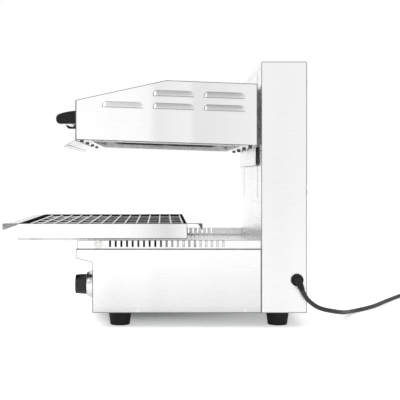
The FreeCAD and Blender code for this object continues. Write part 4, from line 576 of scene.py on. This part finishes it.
def in_collar(centre, normal):
    """Whether a face belongs to a collar below a strip, and not to its rim."""
    strip = HOOD_LOW - HOOD_SLOPE * (centre.y - HOOD_FRONT)
    return abs(normal.z) < 0.5 and centre.z < strip - COLLAR_START


def in_rail(centre, normal):
    """Whether a face of a rail looks inwards or along its slits."""
    return abs(centre.x) < RAIL_FACE and normal.z < 0.5


def in_runner(centre, normal):
    """Whether a face of a runner looks inwards."""
    return normal.x * centre.x < 0


def out_of_runner(centre, normal):
    """Whether a face of a runner's web looks outwards, to the rail."""
    return normal.x * centre.x > 0.5 and abs(centre.x) < RUNNER_FACE


def on_deck(centre, normal):
    """Whether a face of the deck is level."""
    return abs(normal.z) > 0.9


# Sheets with a brushed finish and a painted shade edge, and the finishes of their hidden places

SHEETS = (
    ("stand", base_steel, edge_shade, 1.5, ("base_side_left", "base_side_right")),
    ("stand", column_steel, edge_shade, 1.3, ("column_side_left", "column_side_right")),
    ("stand", steel, edge_shade, 1.0, ("base_front_panel", "column_back")),
    ("stand", steel, pale_edge_shade, 0.0, ("column_front", "column_cap")),
    ("hood", steel, edge_shade, 1.0, ("hood_top_cover", "hood_front_panel", "hood_back_panel")),
    ("hood", steel, pale_edge_shade, 1.2, ("hood_visor", "lift_plate")),
)
for body, sheet, edge, border, names in SHEETS:
    for name in names:
        dressed(name, body, (sheet, edge), border)
for name in ("hood_front_strip", "hood_rear_strip"):
    dressed(name, "hood", (steel, pale_edge_shade), 0.6, 0.25, ((in_collar, collar_shade),))
dressed("drip_pan", "pan", (tray_steel, tray_edge_shade), 1.2, 0.35,
        ((in_pan, pan_shade), (in_lip, lip_shade), (on_rear_flange, rubbed_steel)))
for side in ("left", "right"):
    dressed("guide_rail_" + side, "stand", (steel, edge_shade), 0.6, 0.3,
            ((in_rail, pale_zinc),))
    dressed("runner_" + side, "tray_carriage", (steel, edge_shade), 0.0, 0.25,
            ((in_runner, mill_steel), (out_of_runner, runner_shade_steel)))
dressed("deck", "stand", (steel, edge_shade), 1.0, 0.35, ((on_deck, pale_zinc),))


# Hood sides with pressed louvres

SHEET = 1.2
FRONT_HIGH = 78.6
RIDGE_BACK = 181.3
RIDGE_HIGH = 124.1
BACK_HIGH = 123.1
LOUVRE_LONG = 82.0
LOUVRE_HIGH = 11.5
LOUVRE_PROUD = 3.6
LOUVRE_DRAW = 8.0
LOUVRE_STARTS = (53.0, 154.7, 256.4)
LOUVRE_ROWS = (67.0, 92.6)
LOUVRES = ((0, 0), (1, 0), (2, 0), (1, 1), (2, 1))
LOUVRE_TAPER = 0.45
LIP_LINE = 0.8
LIP_BELOW = 0.5
LIP_STEP = 0.02
EDGE_LINE = 1.2
FRONT_LINE = 2.2
END_CLEAR = 0.6
TOP_CLEAR = 0.8
# Painted shade round each louvre: where its dark line lies, how wide it is, its share along the top and
# where it stops
LINE_SHADE_AT = 0.95
LINE_SHADE_WIDE = 0.1
LINE_SHADE_TOP = 0.55
LINE_SHADE_STOP = 1.04
FADE_START = 1.6
LIP_END = 0.95
PLATE_SHARP = math.radians(40)
FACE_SHADE = 0.1


def hood_side(side, word):
    """A louvred side plate, worked out as the height of the sheet over a grid of places.

    Each louvre is a quarter of a rounded bulge. With t running up from its lip to its top and e running
    out from its straight middle to its end, its height is the proud length times the square root of
    one less t squared less e squared, times one less 0.45 t. It stands square off the sheet at the lip.
    The shade attribute is painted shade: a bell-shaped dark line just inside where t squared plus e
    squared is one. It is strongest at the louvre's front end, lighter along its top and gone at its rear
    end, with a little on the face.
    """
    arc = np.sin(np.linspace(0, np.pi / 2, 17))
    across = [0, FRONT_LINE, HOOD_LONG - EDGE_LINE, HOOD_LONG, RIDGE_BACK]
    for start in LOUVRE_STARTS:
        across.extend((start - END_CLEAR, start + LOUVRE_LONG + END_CLEAR))
        across.extend(start + LOUVRE_DRAW - arc * LOUVRE_DRAW)
        across.extend(start + LOUVRE_LONG - LOUVRE_DRAW + arc * LOUVRE_DRAW)
        across.extend(np.linspace(start + LOUVRE_DRAW, start + LOUVRE_LONG - LOUVRE_DRAW, 9))
    rows = [0, EDGE_LINE, 20, 40, 60]
    for low in LOUVRE_ROWS:
        rows.extend((low - LIP_BELOW, low - LIP_STEP, low, low + LIP_LINE))
        rows.extend(low + arc * LOUVRE_HIGH)
        rows.append(low + LOUVRE_HIGH + TOP_CLEAR)
    rows.extend((88, 110, 118, RIDGE_HIGH))
    across = np.unique(np.round(across, 4))
    rows = np.unique(np.round(rows, 4))
    top = np.interp(across, (0, RIDGE_BACK, HOOD_LONG), (FRONT_HIGH, RIDGE_HIGH, BACK_HIGH))
    high = np.minimum(rows[:, None], top[None, :] - EDGE_LINE)
    high = np.concatenate([high, top[None, :]])
    back = np.repeat(across[None, :], len(high), 0)
    proud = np.zeros_like(high)
    lip = np.zeros_like(high)
    louvre_shade = np.zeros_like(high)
    for column, line in LOUVRES:
        middle = LOUVRE_STARTS[column] + LOUVRE_LONG / 2
        up = (high - LOUVRE_ROWS[line]) / LOUVRE_HIGH
        out = np.maximum(np.abs(back - middle) - LOUVRE_LONG / 2 + LOUVRE_DRAW, 0) / LOUVRE_DRAW
        bulge = np.sqrt(np.maximum(1 - up ** 2 - out ** 2, 0))
        slope = bulge * (1 - LOUVRE_TAPER * np.clip(up, 0, 1))
        proud = np.maximum(proud, np.where(up >= -1e-6, slope * LOUVRE_PROUD, 0))
        rim = np.sqrt(up ** 2 + out ** 2)
        ahead = np.clip((middle - back - LOUVRE_LONG / 2 + LOUVRE_DRAW) / LOUVRE_DRAW, 0, 1)
        behind = np.clip((back - middle - LOUVRE_LONG / 2 + LOUVRE_DRAW * FADE_START) / LOUVRE_DRAW, 0, 1)
        # Painted shade: a dark bell-shaped line round the louvre, lighter on top, and a little on its face
        bell = np.exp(-((rim - LINE_SHADE_AT) / LINE_SHADE_WIDE) ** 2)
        bell = bell * (LINE_SHADE_TOP + (1 - LINE_SHADE_TOP) * ahead) * (1 - behind)
        face = FACE_SHADE * (1 - behind) * np.clip((1 - rim) / LINE_SHADE_WIDE, 0, 1)
        on_louvre = (up >= -1e-6) & (rim < LINE_SHADE_STOP)
        louvre_shade = np.maximum(louvre_shade, np.where(on_louvre, np.maximum(bell, face), 0))
        above_low = high > LOUVRE_ROWS[line] - LIP_BELOW - 0.01
        near_lip = above_low & (high < LOUVRE_ROWS[line] + LIP_LINE - 0.01)
        lip = np.maximum(lip, np.where(near_lip & (out < LIP_END), 1, 0))
    points = np.stack([
        side * (HOOD_HALF + proud),
        HOOD_FRONT + back,
        HOOD_LOW - HOOD_SLOPE * back + high,
    ], 2)
    count = len(across)
    # Faces at the sheet's outer edges take the painted shade line
    border = np.zeros((len(high) - 1, count - 1), int)
    border[0, :] = 1
    border[-1, :] = 1
    border[:, 0] = 1
    border[:, -1] = 1
    # Faces along each louvre's lip take the painted shade of its mouth
    border[(lip[:-1, :-1] > 0) & (lip[:-1, 1:] > 0)] = 2
    name = "hood_louvred_side_" + word
    mesh = bpy.data.meshes.new(name)
    faces = quads(len(high), count)
    if side == LEFT:
        faces = faces[:, ::-1]
    mesh.from_pydata((points.reshape(-1, 3) * MM).tolist(), [], faces.tolist())
    for finish in (hood_steel, edge_shade, louvre_mouth_shade):
        mesh.materials.append(finish)
    mesh.polygons.foreach_set("material_index", border.ravel())
    # The attribute carries the louvres' painted shade to the hood's steel
    mesh.attributes.new("louvre_shade", "FLOAT", "POINT").data.foreach_set("value", louvre_shade.ravel())
    form = bmesh.new()
    form.from_mesh(mesh)
    bmesh.ops.remove_doubles(form, verts=form.verts, dist=MERGE * 2 * MM)
    bmesh.ops.dissolve_degenerate(form, edges=form.edges, dist=MERGE * 2 * MM)
    form.to_mesh(mesh)
    form.free()
    mesh.polygons.foreach_set("use_smooth", [True] * len(mesh.polygons))
    mesh.set_sharp_from_angle(angle=PLATE_SHARP)
    piece = in_scene(name, mesh)
    wall = piece.modifiers.new("sheet", "SOLIDIFY")
    wall.thickness = SHEET * MM
    wall.offset = -1
    wall.material_offset_rim = 0
    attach(piece, "hood")
    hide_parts("hood_side_" + word)


for side, word in ((RIGHT, "right"), (LEFT, "left")):
    hood_side(side, word)


# Handle

HANDLE_LOW = 413.2
HANDLE_OUT = 117.0
HANDLE_END = 24.0
HANDLE_ROUND = 2.2
NOSE_FROM = -188
NOSE_LONG = 22
NOSE_ROUND = 9.0
GRIP_HALF = 94.5
GRIP_RADIUS = 10.5
GRIP_CENTRE = (0, -195, 427)


def make_handle():
    """The handle: two moulded ends with a falling brow, and a round tube between them.

    An end is an outline in Y and Z drawn in towards its two faces, on a quarter circle, so that its
    edges are rounded. The outline is a run of points round the brow, the chin and the back. Ahead of
    the brow the outer face draws in by the square of the distance, so that the nose is round in plan.
    """
    t = np.linspace(0, 1, 9)[:, None]
    back_low = np.array([HOOD_FRONT, HANDLE_LOW])
    back_top = np.array([HOOD_FRONT, 440.8])
    brow = np.array([-184.0, 440.2])
    nose_top = np.array([-203.5, 433.5])
    nose = np.array([-210.0, 425.0])
    chin = np.array([-210.0, HANDLE_LOW])
    fall = bent(back_top, brow, nose_top, t)
    tip = bent(nose_top, np.array([-209.6, 431.0]), nose, t)
    under = bent(nose, chin, np.array([-201.0, HANDLE_LOW]), t)
    outline = np.concatenate([fall, tip[1:], under[1:], [back_low]])
    middle = np.array([-180.0, 427.0])
    turn = np.linspace(0, np.pi / 2, 6)
    inset = np.concatenate([1 - np.sin(turn), np.zeros(4), 1 - np.cos(turn)]) * HANDLE_ROUND
    across = np.concatenate([HANDLE_ROUND * (1 - np.cos(turn)), [6, 10, 14, 18],
                             HANDLE_END - HANDLE_ROUND * (1 - np.sin(turn))])
    surfaces = []
    for side in (RIGHT, LEFT):
        away = outline - middle
        length = np.linalg.norm(away, axis=1)[:, None]
        ring = middle + away[None, :, :] * (1 - inset[:, None, None] / length[None, :, :])
        ring[:, :, 0] = np.where(outline[None, :, 0] > HOOD_FRONT - 0.01, HOOD_FRONT, ring[:, :, 0])
        points = np.zeros((len(across), len(outline), 3))
        nose_in = NOSE_ROUND * np.clip((NOSE_FROM - ring[:, :, 0]) / NOSE_LONG, 0, 1) ** 2
        nose_in = nose_in * (1 - across[:, None] / HANDLE_END)
        points[:, :, 0] = side * (HANDLE_OUT - across[:, None] - nose_in)
        points[:, :, 1:] = ring
        caps = np.repeat(middle[None, None, :], len(outline), 1)
        first = np.concatenate([np.full((1, len(outline), 1), side * HANDLE_OUT), caps], 2)
        last = np.concatenate([np.full((1, len(outline), 1), side * (HANDLE_OUT - HANDLE_END)), caps], 2)
        points = np.concatenate([first, points, last])
        surfaces.append((points.reshape(-1, 3), quads(len(points), len(outline), close_columns=True)))
    mesh_piece("handle_ends", *joined(*surfaces), "hood", "handle", handle_black, "handle")
    line = [(0, -GRIP_HALF), (GRIP_RADIUS, -GRIP_HALF), (GRIP_RADIUS, GRIP_HALF), (0, GRIP_HALF)]
    mesh_piece("handle_grip", *turned(line, GRIP_CENTRE, "X", 48), "hood", "chrome", grip_steel, "handle")


make_handle()


# Knob, bezel and rollers

KNOB_CENTRE = (165.0, 0, 81.0)
FLUTES = 30
FLUTE_DEEP = 0.35
FLUTE_FADE = 3
FLUTE_FRONT = -161
FLUTE_BACK = -141
WHEEL_CENTRE = (0, -113.0, 166.6)


def grip_flutes(angle, along):
    """Shallow waves round the knob that die out towards its face and its back."""
    body = np.clip((along - FLUTE_FRONT) / FLUTE_FADE, 0, 1)
    body = body * np.clip((FLUTE_BACK - along) / FLUTE_FADE, 0, 1)
    return -FLUTE_DEEP * (0.5 - 0.5 * np.cos(FLUTES * angle)) * body


knob_line = rounded_profile([(0, -161.4), (14, -161.6), (18.0, -162.5), (19.4, -162.3), (21.0, -139.5),
                             (19.0, -139.5), (18.4, -141.0), (0, -141.0)], 1.4)
long_side = np.stack([np.linspace(19.6, 20.9, 12), np.linspace(-159.5, -141.5, 12)], 1)
split = int(np.argmax(knob_line[:, 1] > -150))
knob_line = np.concatenate([knob_line[:split], long_side, knob_line[split:]])
knob_form = turned(knob_line, KNOB_CENTRE, "Y", 180, grip_flutes)
mesh_piece("knob_moulding", *knob_form, "knob", "knob", knob_black, "control_knob")

bezel_line = rounded_profile([(8.4, -124.0), (30.5, -124.0), (30.3, -125.2), (27.2, -132.0), (24.5, -138.8),
                              (23.6, -139.0), (23.3, -138.2), (26.0, -131.6), (28.6, -125.3), (8.4, -125.0),
                              (8.4, -124.0)], 0.8)
bezel_form = turned(bezel_line, KNOB_CENTRE, "Y", 128)
mesh_piece("bezel_spinning", *bezel_form, "stand", "chrome", chrome, "knob_bezel")

for side, word in ((RIGHT, "right"), (LEFT, "left")):
    line = rounded_profile([(3.1, 218.3), (8.2, 218.3), (8.2, 224.3), (6.4, 224.3), (6.0, 223.5),
                            (4.6, 223.5), (4.6, 224.3), (3.1, 224.3), (3.1, 218.3)], 0.5)
    line[:, 1] *= side
    wheel = turned(line, WHEEL_CENTRE, "X", 72)
    mesh_piece("guide_wheel_" + word, *wheel, "roller_" + word, "nylon", nylon, "guide_roller_" + word)


# Nodes whose CAD form is right take a finish, with softened edges where they show

SOFTENED = (
    ("bottom_plate", "stand", "zinc", zinc, 0.3),
    ("panel_screws", "stand", "screw", screw_steel, 0.7),
    ("front_feet", "stand", "rubber", rubber, 0.6),
    ("rear_feet", "stand", "rubber", rubber, 0.6),
    ("cable_gland", "stand", "rubber", rubber, 0.5),
    ("mains_plug", "stand", "rubber", rubber, 0.8),
    ("pilot_lamps", "stand", "lamp", lens_red, 0.5),
    ("reflector", "hood", "reflector", aluminised, 0.4),
    ("lift_arms", "hood", "zinc", zinc, 0.5),
    ("counterweight", "weight", "weight", slab_paint, 1.5),
    ("terminal_block", "stand", "block", melamine, 1.0),
)
for node, body, slot, finish, width in SOFTENED:
    dressed(node, body, (finish,), border=0, bevel=width)

KEPT = {
    zinc: ("guide_bars", "shaft_bearings", "lift_shaft", "chain_wheels", "lift_chain_front",
           "lift_chain_back", "lift_chain_turns", "lift_crosshead", "carriage_cross_bars", "thermostat",
           "thermostat_spindle", "foot_bolts"),
    screw_steel: ("roller_pins", "element_hangers"),
    shaded_wire: ("grid",),
    heated_tube: ("heating_elements",),
    nylon: ("glide_pads",),
    sheath: ("hood_lead",),
    wool: ("insulation_blanket",),
}
for finish, names in KEPT.items():
    for name in names:
        nodes[name].data.materials.clear()
        nodes[name].data.materials.append(finish)


# Studio: a white floor that keeps the shadow, a white surround and two soft lamps

# The floor's glow in the view, its share in reflections, the even light of the surround, and the glow's
# share under the machine's front and back
FLOOR_GLOW = 0.42
GLOSSY_GLOW = 0.4
EVEN_LIGHT = 0.78
UNDER_FRONT = 0.2
UNDER_BACK = 0.75
# From start to stop along an axis, the glow comes to a share of its own clear of the machine
CLEAR_PLACES = (
    ("X", 0.06, 0.16, 1.0),
    ("X", -0.21, -0.25, 1.0),
    ("Y", 0.29, 0.33, 1.0),
    ("Y", -0.09, -0.15, 2.1),
)


def make_floor():
    """A pale table as wide as the view, with a faint glow in the view that clears it to white.

    The glow is weaker under the machine, most of all under its front half, which keeps the shadow there,
    and strongest on the table ahead of the base.
    """
    mesh = bpy.data.meshes.new("studio_floor")
    reach = 30.0
    mesh.from_pydata([(-reach, -reach, 0), (reach, -reach, 0), (reach, reach, 0), (-reach, reach, 0)],
                     [], [(0, 1, 2, 3)])
    material, tree, shader = finish_of("studio_white", Roughness=0.9, Specular_IOR_Level=0.0)
    shader.inputs["Base Color"].default_value = colour("#f6f6f6")
    path = add(tree, "LightPath")
    seen = add(tree, "Math", {0: path.outputs["Is Camera Ray"], 1: path.outputs["Is Transmission Ray"]},
               operation="MAXIMUM")
    seen = add(tree, "Mix", {0: path.outputs["Is Glossy Ray"], 2: seen.outputs[0], 3: GLOSSY_GLOW})
    place = add(tree, "SeparateXYZ", {"Vector": add(tree, "TexCoord").outputs["Object"]})
    share = spread(tree, place.outputs["Y"], UNDER_FRONT, UNDER_BACK, -0.05, 0.2)
    for axis, start, stop, clear in CLEAR_PLACES:
        past = spread(tree, place.outputs[axis], 0, 1, start, stop)
        share = add(tree, "Mix", {0: past, 2: share, 3: clear}).outputs[0]
    strength = add(tree, "Math", {0: share, 1: FLOOR_GLOW}, operation="MULTIPLY")
    glow = add(tree, "Math", {0: seen.outputs[0], 1: strength.outputs[0]}, operation="MULTIPLY")
    light = add(tree, "Emission", {"Color": colour("#ffffff"), "Strength": glow.outputs[0]})
    both = add(tree, "AddShader", {0: shader.outputs[0], 1: light.outputs[0]})
    tree.links.new(both.outputs[0], tree.nodes["Material Output"].inputs["Surface"])
    mesh.materials.append(material)
    floor = in_scene("studio_floor", mesh)


def make_surround():
    """White all round in the view and in reflections, greyer overhead, and an even light elsewhere."""
    world = bpy.data.worlds.new("studio")
    world.use_nodes = True
    scene.world = world
    tree = world.node_tree
    path = add(tree, "LightPath")
    way = add(tree, "TexCoord").outputs["Generated"]
    lean = add(tree, "VectorMath", {0: way, 1: (0, -0.25, 0.97)}, operation="DOT_PRODUCT")
    overhead = add(tree, "MapRange", {"Value": lean.outputs["Value"], "From Min": 0.22, "From Max": 0.8,
                                      "To Min": 0.0, "To Max": 1.0}, interpolation_type="SMOOTHSTEP")
    mirrored = between(tree, overhead.outputs["Result"], "#ffffff", "#8c8c8c")
    even = (EVEN_LIGHT, EVEN_LIGHT, EVEN_LIGHT, 1.0)
    lit = add(tree, "Mix", {0: path.outputs["Is Glossy Ray"], 6: even, 7: mirrored}, data_type="RGBA")
    seen = add(tree, "Math", {0: path.outputs["Is Camera Ray"], 1: path.outputs["Is Transmission Ray"]},
               operation="MAXIMUM")
    shown = add(tree, "Mix", {0: seen.outputs[0], 6: lit.outputs[2], 7: colour("#ffffff")},
                data_type="RGBA")
    tree.links.new(shown.outputs[2], tree.nodes["Background"].inputs["Color"])


def make_lamp(name, place, aim, size, power):
    """A square soft lamp turned to a point."""
    lamp = bpy.data.lights.new(name, "AREA")
    lamp.shape = "SQUARE"
    lamp.size = size
    lamp.energy = power
    holder = in_scene(name, lamp)
    holder.location = place
    way = np.array(aim, float) - np.array(place, float)
    flat = math.hypot(way[0], way[1])
    holder.rotation_euler = (math.atan2(flat, -way[2]), 0, math.atan2(way[1], way[0]) - math.pi / 2)


make_floor()
make_surround()
make_lamp("key_lamp", (1.8, -1.3, 1.9), (0, 0, 0.25), 1.8, 16)
make_lamp("fill_lamp", (0.5, 0.3, 2.7), (0, 0, 0.25), 2.2, 10)
